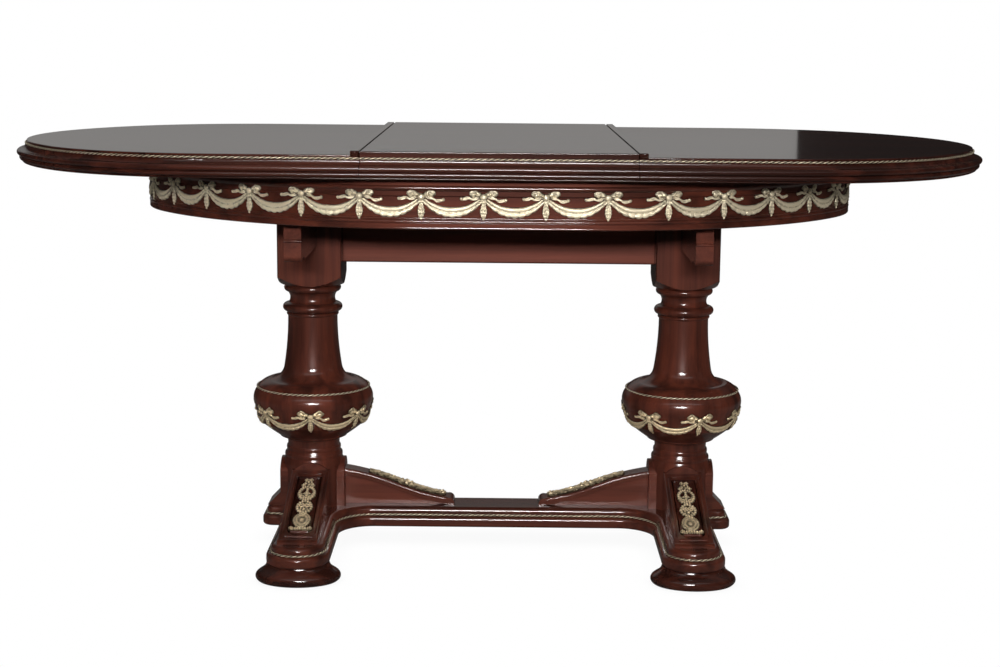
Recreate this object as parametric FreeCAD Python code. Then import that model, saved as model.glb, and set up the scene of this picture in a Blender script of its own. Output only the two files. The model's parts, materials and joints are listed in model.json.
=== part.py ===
"""Extending double pedestal dining table with a folding centre leaf.

Millimetres. The origin is on the floor under the middle of the table, +X runs along the table's
length, +Y to its rear and +Z up. The table is modelled as it stands in use: both end tops drawn
out and the centre leaf between them.
"""
import math
import os

import FreeCAD
import Part

# Shared clearances
overrun = 5.0
joint_gap = 0.4
seam_gap = 0.6
leaf_gap = 1.0
slide_gap = 0.6
seat_gap = 0.1
quarter_turn = 90.0
half_turn = 180.0
full_turn = 360.0

# Top: two end tops and a leaf, each a slab with a moulded lipping
table_height = 780.0
leaf_step = 6.0
leaf_length = 450.0
slab_half_width = 478.0
top_straight = 245.0
end_depth = 400.0
end_corner_radius = 360.0
edge_height = 45.0
slab_lip = 13.5
edge_projection = 18.0
lipping_width = 40.0
strip_width = 15.0
strip_rebate = 3.0
slab_round = 1.5
bead_radius = 1.3

# Apron: an oval frame that the tops slide over
apron_half_length = 655.0
apron_overhang = 41.0
apron_straight = 130.0
apron_end_radius = 330.0
apron_height = 85.0
apron_wall = 26.0
frieze_setback = 4.0
cross_rail_width = 50.0
cross_rail_height = 40.0
corner_block_leg = 48.0

# Draw slides: guides on the frame and tongued runners under the end tops
guide_inset = 215.0
guide_width = 40.0
groove_depth = 14.0
groove_height = 14.0
runner_width = 32.0
runner_height = 33.0
runner_length = 252.0
runner_setback = 3.0
draw_travel = 30.0
stop_length = 12.0
stop_height = 30.0
screw_radius = 2.5
screw_head_radius = 5.0
screw_head_height = 4.0
screw_bite = 18.0
screw_spacing = 95.0
barrel_radius = 6.0
barrel_depth = 16.0
barrel_spacing = 150.0

# Pedestals
pedestal_reach = 354.0
block_half = 60.0
block_height = 151.0
pommel_height = 22.0
block_round = 2.5
bearer_half_length = 322.0
bearer_width = 30.0
bearer_height = 73.0
bearer_nose = 38.0
bearer_undercut = 62.0
bearer_bead = 3.0
rail_width = 30.0
rail_height = 109.0
rail_round = 3.0
tenon_length = 24.0
tenon_width = 16.0
tenon_margin = 14.0
bulb_radius = 114.5
drum_radius = 59.0
spigot_radius = 25.0
spigot_length = 28.0
bolt_radius = 4.0
bolt_head_radius = 8.0
bolt_head_height = 5.0
bolt_offset = 130.0

# Base: raised cross plinths, a stretcher between them, and turned pads under the feet
plinth_bottom = 33.0
plinth_ledge = 54.0
plinth_top = 70.0
ledge_width = 9.0
plinth_nose = 8.0
plinth_under = 5.0
plinth_crown = 9.0
foot_half_width = 57.0
foot_reach = 335.0
stub_reach = 96.0
stretcher_half_width = 50.0
stub_corner = 22.0
outer_sweep = 12.0
inner_sweep = 65.0
pad_half_width = 76.5
pad_half_depth = 55.0
pad_centre = 281.0

# Knees that stand against each column
knee_width = 72.0
plate_face = 61.5
plate_top = 160.0
plate_spring = 139.0
knee_top = 146.0
knee_foot = 76.0
knee_length = 223.5
toe_length = 15.0
knee_round = 3.0
panel_width = 48.0
panel_depth = 7.0
panel_length = 220.0
panel_inset = 8.0
outer_knee_width = 66.0
outer_knee_rise = 26.0
outer_knee_length = 25.0

# Braces on the stretcher
brace_top = 140.0
brace_length = 200.5
brace_drop = 56.0
brace_start_slope = 9.0
cap_thickness = 13.0
cap_width = 44.0
cap_round = 4.0
web_thickness = 24.0
brace_toe = 10.0

# Gilt mounts
mount_thickness = 3.0
mount_sink = 0.1
garland_count = 34
garland_margin = 23.0
garland_height = 41.0
swag_thick = 12.0
bow_half = 20.0
bow_height = 15.0
tail_half = 36.0
knot_half = 4.0
drop_half = 5.0
bulb_garland_count = 7
bulb_mount_thickness = 2.5
bulb_bow_half = 19.0
bulb_tail_half = 30.0
bulb_swag_thick = 8.0
left_bulb_turn = 2.8
right_bulb_turn = 13.0
mount_start = 17.0
crest_half_length = 15.5
crest_half_width = 7.0
wreath_half_length = 26.0
wreath_half_width = 17.5
wreath_band = 6.5
scroll_half_length = 22.0
scroll_half_width = 16.0
medal_half_length = 24.0
medal_half_width = 16.5
bar_length = 18.0
bar_half_width = 17.5
strap_width = 30.0
strap_thickness = 2.5
strap_start = 44.0
strap_end = 194.0

# Shape tables, as shares of the named sizes that they follow
# Moulded lipping, outwards share and height share from its underside: bead, ovolo, nose, cove and ledge
lipping_shares = [
    ((0.4, 0.0),),
    ((0.47, 0.05), (0.4, 0.1)),
    ((0.5, 0.115),),
    ((0.76, 0.25), (0.58, 0.385)),
    ((0.76, 0.4),),
    ((1.0, 0.55), (0.74, 0.71)),
    ((0.52, 0.715),),
    ((0.28, 0.78), (0.17, 1.0)),
]
# Apron, depth share of the frieze setback and height share: band, ovolo, quirked frieze, reeds and foot
apron_shares = [
    ((0.3, 0.0),),
    ((0.3, 0.145),),
    ((0.72, 0.152),),
    ((0.2, 0.2), (0.85, 0.25)),
    ((1.0, 0.262),),
    ((1.0, 0.345),),
    ((1.3, 0.357),),
    ((1.0, 0.369),),
    ((1.0, 0.756),),
    ((0.86, 0.762),),
    ((0.45, 0.784), (0.86, 0.806)),
    ((0.78, 0.812),),
    ((0.25, 0.845), (0.7, 0.878)),
    ((0.62, 0.884),),
    ((0.4, 0.89),),
    ((0.4, 0.965),),
    ((0.55, 0.992), (0.9, 1.0)),
]
# Turned column, radius share of the bulb and height share between plinth and block
column_shares = [
    ((0.515, 0.0),),
    ((0.515, 0.189),),
    ((0.468, 0.229), (0.441, 0.258)),
    ((0.432, 0.28), (0.441, 0.3)),
    ((0.49, 0.305),),
    ((0.735, 0.35), (0.876, 0.381)),
    ((0.936, 0.419), (0.974, 0.456)),
    ((1.0, 0.487), (0.955, 0.526)),
    ((0.88, 0.552), (0.75, 0.569)),
    ((0.56, 0.588), (0.48, 0.63)),
    ((0.432, 0.73), (0.41, 0.858)),
    ((0.432, 0.866), (0.41, 0.874)),
    ((0.425, 0.876),),
    ((0.494, 0.894), (0.425, 0.914)),
    ((0.395, 0.917),),
    ((0.372, 0.938), (0.41, 0.963)),
    ((0.425, 0.965),),
    ((0.472, 0.981), (0.425, 0.998)),
    ((0.425, 1.0),),
]
shoulder_bead_share = (0.9402, 0.539)
# Garland on the bulb: heights of its bow tops, bow feet and pendant tips as shares of the turning
bulb_garland_shares = (0.474, 0.436, 0.371)
# Place of the first apron bow past the middle of the front, as a share of the spacing
garland_phase_share = 0.02
# Ogee under a bearer's end, inwards share of the undercut and height share below the bead
bearer_end_shares = [
    ((0.03, 0.3),),
    ((0.08, 0.1), (0.22, 0.06)),
    ((0.6, 0.2), (1.0, 0.0)),
]
# Swag between two bows: fall of its ends, and its span, as shares of the fall and of the spacing
swag_end_share = 0.2
swag_span_share = 0.86
# Radius of the bulb where its garland hangs, as a share of its largest
bulb_girth_share = 0.92
# Foot pad from the floor up to the plinth: size share and height share
pad_shares = [
    (0.92, 0.0),
    (0.985, 0.14),
    (1.0, 0.29),
    (0.965, 0.47),
    (0.87, 0.63),
    (0.775, 0.81),
    (0.74, 1.0),
]
# Bow loop, sideways share of its half width and height share
bow_loop_shares = [
    ((1.0, 0.25),),
    ((0.95, 0.7), (0.62, 1.0)),
    ((0.4, 0.93), (0.26, 0.72)),
]
# Bow: knot height, and the tail's height at its middle and tip, as shares of the bow's height
bow_knot_share = 0.36
tail_middle_share = 0.35
tail_tip_share = 0.1
drop_taper_share = 0.45
guide_groove_share = 0.5
knee_plate_share = 0.6

# Levels that several pieces share
slab_low = table_height - slab_lip
top_under = table_height - edge_height
end_surface = table_height - leaf_step
frame_top = top_under - slide_gap
apron_bottom = frame_top - apron_height
guide_bottom = apron_bottom + cross_rail_height
block_bottom = apron_bottom - block_height
half_leaf = leaf_length / 2
apron_half_width = slab_half_width - apron_overhang
end_joint = half_leaf + leaf_gap
top_turn_start = half_leaf + top_straight


def point(x, y, z):
    """A FreeCAD vector."""
    return FreeCAD.Vector(x, y, z)


def on_front(pair):
    """Lift a flat point to the XZ plane."""
    return point(pair[0], 0, pair[1])


def on_plan(pair):
    """Lift a flat point to the XY plane."""
    return point(pair[0], pair[1], 0)


def closed_wire(start, steps, lift):
    """Wire from start through steps: one point is a line, two are an arc through the first."""
    edges = []
    here = start
    for step in steps:
        there = step[-1]
        if len(step) > 1:
            edges.append(Part.Arc(lift(here), lift(step[0]), lift(there)).toShape())
        else:
            edges.append(Part.LineSegment(lift(here), lift(there)).toShape())
        here = there
    if (lift(here) - lift(start)).Length > seat_gap * seat_gap:
        edges.append(Part.LineSegment(lift(here), lift(start)).toShape())
    return Part.Wire(edges)


def front_face(start, steps):
    """Flat face in the XZ plane."""
    return Part.Face(closed_wire(start, steps, on_front))


def plan_prism(start, steps, low, high):
    """Prism with a plan outline between two heights."""
    face = Part.Face(closed_wire(start, steps, on_plan))
    face.translate(point(0, 0, low))
    return face.extrude(point(0, 0, high - low))


def block(low, high):
    """Box between two corners."""
    size = [high[axis] - low[axis] for axis in range(len(low))]
    return Part.makeBox(size[0], size[1], size[2], point(*low))


def rod(radius, start, reach):
    """Cylinder from a point along a vector."""
    return Part.makeCylinder(radius, reach.Length, start, reach)


def moved(shape, x, y, z):
    """Copy of a shape, shifted."""
    copy = shape.copy()
    copy.translate(point(x, y, z))
    return copy


def turned(shape, angle):
    """Copy of a shape, turned about the upright axis through the origin."""
    copy = shape.copy()
    copy.rotate(point(0, 0, 0), point(0, 0, 1), angle)
    return copy


def joined(shapes):
    """One solid from touching solids."""
    whole = shapes[0]
    for shape in shapes[1:]:
        whole = whole.fuse(shape)
    return whole.removeSplitter()


def scaled_steps(shares, place):
    """Steps of a share table, each point put in place by a function."""
    return [tuple(place(pair) for pair in step) for step in shares]


def save(name, shape):
    """Write one node: a solid, or a group of like solids."""
    solids = shape if isinstance(shape, list) else shape.Solids
    whole = solids[0] if len(solids) == 1 else Part.makeCompound(solids)
    whole.exportStep("parts/" + name + ".step")


# Plans: runs of straight lines and arcs, walked anticlockwise with the outside on the right

def three_centre_radius(depth, half, corner):
    """Radius of the end arc that closes a half oval of a given depth, half width and corner."""
    return (depth ** 2 + half ** 2 - 2 * half * corner) / (2 * (depth - corner))


def corner_angle(depth, half, corner):
    """Angle in degrees that the corner arc turns before the end arc takes over."""
    radius = three_centre_radius(depth, half, corner)
    return math.degrees(math.atan2(radius - depth, half - corner))


def end_top_runs():
    """Runs of the right end top: front side, corner, end, corner, rear side."""
    radius = three_centre_radius(end_depth, slab_half_width, end_corner_radius)
    hinge = quarter_turn - corner_angle(end_depth, slab_half_width, end_corner_radius)
    corner_y = slab_half_width - end_corner_radius
    centre_x = top_turn_start + end_depth - radius
    return [
        ("line", (end_joint, -slab_half_width), (top_turn_start, -slab_half_width)),
        ("arc", (top_turn_start, -corner_y), end_corner_radius, -quarter_turn, -hinge),
        ("arc", (centre_x, 0), radius, -hinge, hinge),
        ("arc", (top_turn_start, corner_y), end_corner_radius, hinge, quarter_turn),
        ("line", (top_turn_start, slab_half_width), (end_joint, slab_half_width)),
    ]


def apron_runs():
    """Runs of the oval apron from the middle of its front: straight, sweep, end, sweep, and so on."""
    depth = apron_half_length - apron_straight
    sweep = three_centre_radius(apron_half_width, depth, apron_end_radius)
    centre_x = apron_half_length - apron_end_radius
    centre_y = sweep - apron_half_width
    lean = math.degrees(math.atan2(centre_y, centre_x - apron_straight))
    return {
        "front": ("line", (-apron_straight, -apron_half_width), (apron_straight, -apron_half_width)),
        "front_right": ("arc", (apron_straight, centre_y), sweep, -quarter_turn, -lean),
        "right": ("arc", (centre_x, 0), apron_end_radius, -lean, lean),
        "rear_right": ("arc", (apron_straight, -centre_y), sweep, lean, quarter_turn),
        "rear": ("line", (apron_straight, apron_half_width), (-apron_straight, apron_half_width)),
        "rear_left": ("arc", (-apron_straight, -centre_y), sweep, quarter_turn, half_turn - lean),
        "left": ("arc", (-centre_x, 0), apron_end_radius, half_turn - lean, half_turn + lean),
        "front_left": ("arc", (-apron_straight, centre_y), sweep, half_turn + lean,
                       half_turn + quarter_turn),
    }


def run_edge(run, offset, height):
    """Edge of a run, offset outwards at a height."""
    if run[0] == "line":
        start = point(run[1][0], run[1][1], height)
        end = point(run[2][0], run[2][1], height)
        along = (end - start).normalize()
        outward = point(along.y, -along.x, 0) * offset
        return Part.LineSegment(start + outward, end + outward).toShape()
    centre = point(run[1][0], run[1][1], height)
    circle = Part.Circle(centre, point(0, 0, 1), run[2] + offset)
    return Part.Arc(circle, math.radians(run[3]), math.radians(run[4])).toShape()


def run_sweep(run, profile):
    """Carry a profile, drawn as outwards offset and height, along a run."""
    face = profile.copy()
    if run[0] == "line":
        start = on_plan(run[1])
        along = on_plan(run[2]) - start
        face.rotate(point(0, 0, 0), point(0, 0, 1), math.degrees(math.atan2(-along.x, along.y)))
        face.translate(start)
        return face.extrude(along)
    face.translate(point(run[2], 0, 0))
    face.rotate(point(0, 0, 0), point(0, 0, 1), run[3])
    face.translate(on_plan(run[1]))
    return face.revolve(on_plan(run[1]), point(0, 0, 1), run[4] - run[3])


def run_length(run, offset):
    """Length of a run, offset outwards."""
    return run_edge(run, offset, 0).Length


def station(runs, offset, distance):
    """Point and outward angle at a distance along the runs."""
    for run in runs:
        length = run_length(run, offset)
        if distance <= length:
            break
        distance = distance - length
    edge = run_edge(run, offset, 0)
    if run[0] == "line":
        start = on_plan(run[1])
        along = (on_plan(run[2]) - start).normalize()
        outward = point(along.y, -along.x, 0)
        return start + along * distance + outward * offset, math.degrees(math.atan2(outward.y, outward.x))
    angle = run[3] + math.degrees(distance / (run[2] + offset))
    return edge.valueAt(math.radians(angle)), angle


def plan_solid(runs, offset, low, high):
    """Solid inside the runs, offset outwards, between two heights."""
    wire = Part.Wire([run_edge(run, offset, low) for run in runs])
    if not wire.isClosed():
        ends = wire.OrderedVertexes
        wire = Part.Wire(wire.Edges + [Part.LineSegment(ends[-1].Point, ends[0].Point).toShape()])
    return Part.Face(wire).extrude(point(0, 0, high - low))


# Top pieces

def lipping_profile():
    """Moulded lipping, drawn from its inner face to its moulded nose."""
    height = slab_low - top_under

    def place(pair):
        return (pair[0] * edge_projection, top_under + pair[1] * height)

    steps = scaled_steps(lipping_shares, place)
    return front_face((-lipping_width, top_under), steps + [((-lipping_width, slab_low),)])


def bead_profile():
    """Round brass cord in the corner between slab and lipping."""
    centre = point(bead_radius + seat_gap, 0, slab_low + bead_radius + seat_gap)
    return Part.Face(Part.Wire(Part.makeCircle(bead_radius, centre, point(0, 1, 0))))


def end_top_panel():
    """Slab of the right end top, rebated for its lipping."""
    runs = end_top_runs()
    slab = rounded_edges(plan_solid(runs, 0, slab_low, end_surface), end_surface, slab_round)
    core = plan_solid(runs, -lipping_width, top_under, slab_low)
    return joined([slab, core]).cut(end_top_strip())


def end_top_strip():
    """Strip let into the end top along the joint, raised to bring it level with the leaf."""
    low = (end_joint, -slab_half_width, end_surface - strip_rebate)
    return block(low, (end_joint + strip_width, slab_half_width, table_height))


def swept_top(profile):
    """Carry a profile round the right end top."""
    return joined([run_sweep(run, profile) for run in end_top_runs()])


def leaf_run():
    """Run of the front half leaf's outer edge."""
    return ("line", (-half_leaf, -slab_half_width), (half_leaf, -slab_half_width))


def leaf_panel():
    """Slab of the front half leaf, with blind holes for its hinge barrels."""
    slab = block((-half_leaf, -slab_half_width, slab_low), (half_leaf, -seam_gap / 2, table_height))
    outer = [edge for edge in slab.Edges if edge.BoundBox.ZMin > slab_low and edge.CenterOfMass.y < -seam_gap]
    slab = slab.makeFillet(slab_round, outer)
    core = block((-half_leaf, lipping_width - slab_half_width, top_under),
                 (half_leaf, -seam_gap / 2, slab_low))
    panel = joined([slab, core])
    for barrel in leaf_barrels():
        panel = panel.cut(barrel)
    return panel


def leaf_barrels():
    """Brass hinge barrels let into the seam of the front half leaf."""
    places = [-barrel_spacing, 0, barrel_spacing]
    height = table_height - slab_lip - barrel_radius
    return [rod(barrel_radius, point(x, -seam_gap / 2, height), point(0, -barrel_depth, 0)) for x in places]


# Draw slides

def runner_start():
    """Inner end of a right-hand runner."""
    return end_joint + runner_setback


def groove_height_at():
    """Height of the middle of the slide groove."""
    return guide_bottom + (frame_top - guide_bottom) * guide_groove_share


def slide_guide():
    """Front guide: a rail on the cross rails, grooved on its inner side, ends cut to the oval."""
    outer = -guide_inset - guide_width
    rail = block((-apron_half_length, outer, guide_bottom), (apron_half_length, -guide_inset, frame_top))
    middle = groove_height_at()
    groove = block((-apron_half_length, -guide_inset - groove_depth, middle - groove_height / 2),
                   (apron_half_length, -guide_inset + overrun, middle + groove_height / 2))
    return rail.cut(groove).common(inside_apron())


def runner():
    """Front runner of the right end top, with the tongue that rides in the guide's groove."""
    face = -guide_inset + joint_gap
    start = runner_start()
    bar = block((start, face, top_under - runner_height),
                (start + runner_length, face + runner_width, top_under))
    middle = groove_height_at()
    half = groove_height / 2 - joint_gap
    tongue = block((start, -guide_inset - groove_depth + joint_gap, middle - half),
                   (start + runner_length, face, middle + half))
    return joined([bar, tongue])


def runner_screws():
    """Countersunk screws that fix the front runner under the right end top."""
    middle = runner_start() + runner_length / 2
    y = -guide_inset + joint_gap + runner_width / 2
    low = top_under - runner_height
    screws = []
    for x in (middle - screw_spacing, middle, middle + screw_spacing):
        head = rod(screw_head_radius, point(x, y, low), point(0, 0, screw_head_height))
        shank = rod(screw_radius, point(x, y, low), point(0, 0, runner_height + screw_bite))
        screws.append(joined([head, shank]))
    return screws


def slide_stop():
    """Block on the front guide that ends the draw of the right end top."""
    start = runner_start() + runner_length + draw_travel + joint_gap
    low = frame_top - stop_height - slide_gap
    return block((start, -guide_inset, low),
                 (start + stop_length, -guide_inset + runner_width, low + stop_height))


def four_ways(shape):
    """A right front shape and its three mirrored mates."""
    right_rear = shape.mirror(point(0, 0, 0), point(0, 1, 0))
    return [shape, right_rear, turned(shape, half_turn), turned(right_rear, half_turn)]


# Apron frame

def inside_apron():
    """Space inside the apron's wall."""
    runs = list(apron_runs().values())
    return plan_solid(runs, -apron_wall - seat_gap, apron_bottom, frame_top)


def apron_profile():
    """Moulded apron section, drawn from its inner face."""
    def place(pair):
        return (-pair[0] * frieze_setback, frame_top - pair[1] * apron_height)

    steps = scaled_steps(apron_shares, place)
    return front_face((-apron_wall, frame_top), steps + [((-apron_wall, apron_bottom),)])


def apron_piece(names):
    """Apron length made of the named runs."""
    runs = apron_runs()
    return joined([run_sweep(runs[name], apron_profile()) for name in names])


def frame_bolts():
    """Bolts that hold the right cross rail down on its bearer."""
    bolts = []
    low = apron_bottom - bearer_height
    for y in (-bolt_offset, bolt_offset):
        shank = rod(bolt_radius, point(pedestal_reach, y, low), point(0, 0, guide_bottom - low))
        head = rod(bolt_head_radius, point(pedestal_reach, y, low), point(0, 0, bolt_head_height))
        bolts.append(joined([shank, head]))
    return bolts


def cross_rail():
    """Right cross rail inside the apron, over the bearer."""
    half = cross_rail_width / 2
    rail = block((pedestal_reach - half, -apron_half_width, apron_bottom),
                 (pedestal_reach + half, apron_half_width, guide_bottom))
    rail = rail.common(inside_apron())
    for bolt in frame_bolts():
        rail = rail.cut(bolt)
    return rail


def corner_block():
    """Glue block in the corner between the right cross rail and the front apron."""
    start = pedestal_reach - cross_rail_width / 2
    face = apron_half_width
    tall = plan_prism((start, -face), [((start, corner_block_leg - inner_front()),),
                                       ((start - corner_block_leg, -inner_front()),),
                                       ((start - corner_block_leg, -face),)],
                      apron_bottom, guide_bottom)
    return tall.common(inside_apron())


def inner_front():
    """Depth of the apron's inner face beside the right cross rail."""
    ring = inside_apron()
    start = pedestal_reach - cross_rail_width / 2
    slice_box = block((start - seat_gap, -apron_half_width, apron_bottom), (start, 0, guide_bottom))
    return -ring.common(slice_box).BoundBox.YMin


# Pedestal upper works

def bearer():
    """Cross bearer on a column, with a bead and an ogee cut under each end."""
    low = apron_bottom - bearer_height
    end = bearer_half_length
    nose = apron_bottom - bearer_nose

    def place(pair):
        return (end - pair[0] * bearer_undercut, low + pair[1] * (nose - low))

    half_side = [
        ((end - bearer_bead, apron_bottom),),
        ((end - bearer_bead, nose + bearer_bead * 2),),
        ((end, nose + bearer_bead), (end - bearer_bead, nose)),
    ]
    half_side = half_side + scaled_steps(bearer_end_shares, place) + [((0, low),)]
    face = front_face((0, apron_bottom), half_side)
    half = face.extrude(point(0, bearer_width, 0))
    half.translate(point(0, -bearer_width / 2, 0))
    rear = turned(half, quarter_turn)
    return joined([rear, turned(rear, half_turn)])


def top_rail():
    """Long rail between the column blocks, with a stub tenon at each end."""
    inner = pedestal_reach - block_half
    low = apron_bottom - rail_height
    half = rail_width / 2
    rail = block((-inner, -half, low), (inner, half, apron_bottom))
    lower = [edge for edge in rail.Edges if edge.BoundBox.ZMax < apron_bottom and edge.Length > inner]
    rail = rail.makeFillet(rail_round, lower)
    return joined([rail] + [turned(rail_tenon(), angle) for angle in (0, half_turn)])


def rail_tenon():
    """Right tenon of the long rail."""
    inner = pedestal_reach - block_half
    low = apron_bottom - rail_height + tenon_margin
    half = tenon_width / 2
    return block((inner, -half, low),
                 (inner + tenon_length, half, apron_bottom - bearer_height - tenon_margin))


def column_place(pair):
    """A column share point as radius and height."""
    return (pair[0] * bulb_radius, plinth_top + pair[1] * (block_bottom - plinth_top))


def column_profile(spread):
    """Half section of the turned column, its outline moved out by a spread."""
    def place(pair):
        radius, height = column_place(pair)
        return (radius + spread, height)

    steps = scaled_steps(column_shares, place)
    return front_face((0, plinth_top), steps + [((0, block_bottom),)])


def spun(profile):
    """Solid of revolution about the upright axis."""
    return profile.revolve(point(0, 0, 0), point(0, 0, 1), full_turn)


def upright_edges(shape):
    """Edges of a block that stand upright."""
    return [edge for edge in shape.Edges if edge.BoundBox.ZLength > edge.Length / 2]


def column():
    """Column at the origin: square block with turned pommel, vase turning, drum and spigot."""
    square = block((-block_half, -block_half, block_bottom), (block_half, block_half, apron_bottom))
    square = square.makeFillet(block_round, upright_edges(square))
    corner = block_half * math.sqrt(2) + overrun
    dome = front_face((0, block_bottom), [((block_half, block_bottom),),
                                          ((corner, block_bottom + pommel_height),),
                                          ((corner, apron_bottom),), ((0, apron_bottom),)])
    head = square.common(spun(dome))
    slot = block((-bearer_width / 2, -block_half - overrun, apron_bottom - bearer_height),
                 (bearer_width / 2, block_half + overrun, apron_bottom + overrun))
    spigot = rod(spigot_radius, point(0, 0, plinth_top), point(0, 0, -spigot_length))
    return joined([head, spun(column_profile(0)), spigot]).cut(slot)


# Base

def base_corners(sign):
    """Plan of the right cross plinth from the stretcher round to the stretcher again, as steps."""
    side = pedestal_reach - foot_half_width
    far = pedestal_reach + foot_half_width
    end = pedestal_reach + stub_reach
    toe = foot_reach - foot_half_width
    diagonal = 1 - math.sqrt(2) / 2
    inner = inner_sweep * diagonal
    outer = outer_sweep * diagonal
    corner = stub_corner * diagonal
    w = stretcher_half_width
    steps = [
        ((side - inner_sweep, -w),),
        ((side - inner, -w - inner), (side, -w - inner_sweep)),
        ((side, -toe),),
        ((pedestal_reach, -foot_reach), (far, -toe)),
        ((far, -w - outer_sweep),),
        ((far + outer, -w - outer), (far + outer_sweep, -w)),
        ((end - stub_corner, -w),),
        ((end - corner, -w + corner), (end, -w + stub_corner)),
    ]
    if sign > 0:
        return steps
    flipped = []
    for step, before in zip(reversed(steps), list(reversed(steps))[1:] + [None]):
        through = step[:-1]
        there = before[-1] if before else (0, -w)
        flipped.append(tuple((pair[0], -pair[1]) for pair in through + (there,)))
    return flipped[:-1]


def plinth_wire(height):
    """Closed plan of the whole plinth."""
    right = base_corners(1) + [((pedestal_reach + stub_reach, stretcher_half_width - stub_corner),)]
    right = right + base_corners(-1)
    left = [tuple((-pair[0], -pair[1]) for pair in step) for step in right]
    start = (0, -stretcher_half_width)
    wire = closed_wire(start, right + [((0, stretcher_half_width),)] + left, on_plan)
    wire.translate(point(0, 0, height))
    return wire


def rounded_edges(shape, height, radius):
    """Round every edge that lies flat at a height."""
    flat = []
    for edge in shape.Edges:
        box = edge.BoundBox
        if abs(box.ZMin - height) < seat_gap and abs(box.ZMax - height) < seat_gap:
            flat.append(edge)
    return shape.makeFillet(radius, flat)


def whole_plinth():
    """Plinth in one length: a nosed lower step and a crowned upper step, with column sockets."""
    lower = Part.Face(plinth_wire(plinth_bottom)).extrude(point(0, 0, plinth_ledge - plinth_bottom))
    lower = rounded_edges(lower, plinth_ledge, plinth_nose)
    lower = rounded_edges(lower, plinth_bottom, plinth_under)
    inset = plinth_wire(plinth_ledge).makeOffset2D(-ledge_width)
    upper = Part.Face(inset).extrude(point(0, 0, plinth_top - plinth_ledge))
    upper = rounded_edges(upper, plinth_top, plinth_crown)
    whole = lower.fuse(upper)
    for x in (-pedestal_reach, pedestal_reach):
        whole = whole.cut(rod(spigot_radius, point(x, 0, plinth_top), point(0, 0, -spigot_length)))
    return whole


def plinth_joint():
    """Distance from the middle to the joint between stretcher and cross plinth."""
    return pedestal_reach - foot_half_width - inner_sweep


def stretcher_tenon():
    """Right tenon of the stretcher."""
    half = stretcher_half_width / 2
    inset = (plinth_ledge - plinth_bottom) / 2 / 2
    start = plinth_joint()
    return block((start, -half, plinth_bottom + inset), (start + inner_sweep, half, plinth_ledge - inset))


def plinth_pieces(whole):
    """Left cross plinth, stretcher and right cross plinth."""
    cut = plinth_joint()
    reach = pedestal_reach + stub_reach + overrun
    depth = foot_reach + overrun
    middle = whole.common(block((-cut, -depth, 0), (cut, depth, plinth_top)))
    tenons = [turned(stretcher_tenon(), angle) for angle in (0, half_turn)]
    right = whole.common(block((cut, -depth, 0), (reach, depth, plinth_top))).cut(tenons[0])
    left = whole.common(block((-reach, -depth, 0), (-cut, depth, plinth_top))).cut(tenons[1])
    return left, joined([middle] + tenons), right


def plinth_beads():
    """Brass cord on the plinth's ledge, in three lengths a side like the plinth itself."""
    offset = ledge_width - bead_radius - seat_gap
    wire = plinth_wire(plinth_ledge + bead_radius + seat_gap).makeOffset2D(-offset)
    beads = []
    for edge in wire.Edges:
        start = edge.valueAt(edge.FirstParameter)
        ring = Part.Wire(Part.makeCircle(bead_radius, start, edge.tangentAt(edge.FirstParameter)))
        beads.append(Part.Wire(edge).makePipeShell([ring], True, False))
    return joined(beads).Solids


def foot_pad():
    """Pad under the right front foot: an oval cushion that sweeps in to the plinth."""
    rings = []
    for size, height in pad_shares:
        centre = point(pedestal_reach, -pad_centre, height * plinth_bottom)
        rings.append(Part.Wire(Part.Ellipse(centre, size * pad_half_width, size * pad_half_depth).toShape()))
    return Part.makeLoft(rings, True, False)


# Knees and braces, drawn against a column at the origin, reaching along +X

def drum_space():
    """Space of the column's drum and flare, with a seating gap."""
    return spun(column_profile(seat_gap))


def arch_plate():
    """Arch-topped plate that stands against the drum."""
    half = knee_width / 2
    face = Part.Face(closed_wire((-half, plinth_top),
                                 [((-half, plate_spring),), ((0, plate_top), (half, plate_spring)),
                                  ((half, plinth_top),)],
                                 lambda pair: point(0, pair[0], pair[1])))
    face.translate(point(drum_radius * knee_plate_share, 0, 0))
    return face.extrude(point(plate_face - drum_radius * knee_plate_share, 0, 0))


def centred(face, width):
    """Extrude a front face to both sides of the XZ plane."""
    solid = face.extrude(point(0, width, 0))
    solid.translate(point(0, -width / 2, 0))
    return solid


def knee_slope():
    """Downward angle of the knee's top."""
    return math.degrees(math.atan2(knee_top - knee_foot, knee_length))


def on_slope(shape):
    """Put a shape drawn on the XY plane onto the floor of the knee's sunk panel."""
    tilted = shape.copy()
    tilted.rotate(point(0, 0, 0), point(0, 1, 0), knee_slope())
    sink = panel_depth / math.cos(math.radians(knee_slope()))
    tilted.translate(point(plate_face, 0, knee_top - sink))
    return tilted


def sunk_panel():
    """Recess in the knee's top with a round lower end."""
    half = panel_width / 2
    end = panel_length - half
    prism = plan_prism((panel_inset, -half), [((end, -half),), ((panel_length, 0), (end, half)),
                                              ((panel_inset, half),)], 0, panel_depth + overrun)
    return on_slope(prism)


def knee_leg():
    """Long knee: arch plate, sloping back with a sunk panel, and a rounded toe."""
    foot = plate_face + knee_length
    toe = foot + toe_length
    side = front_face((0, plinth_top), [((0, knee_top),), ((plate_face, knee_top),), ((foot, knee_foot),),
                                        ((toe - toe_length / 2 / 2, knee_foot - cap_round / 2),
                                         (toe, plinth_top))])
    body = centred(side, knee_width)
    arrises = [edge for edge in body.Edges if edge.Length > knee_length and edge.BoundBox.ZMax > knee_foot]
    body = body.makeFillet(knee_round, arrises).cut(sunk_panel())
    return joined([body, arch_plate()]).cut(drum_space())


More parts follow.
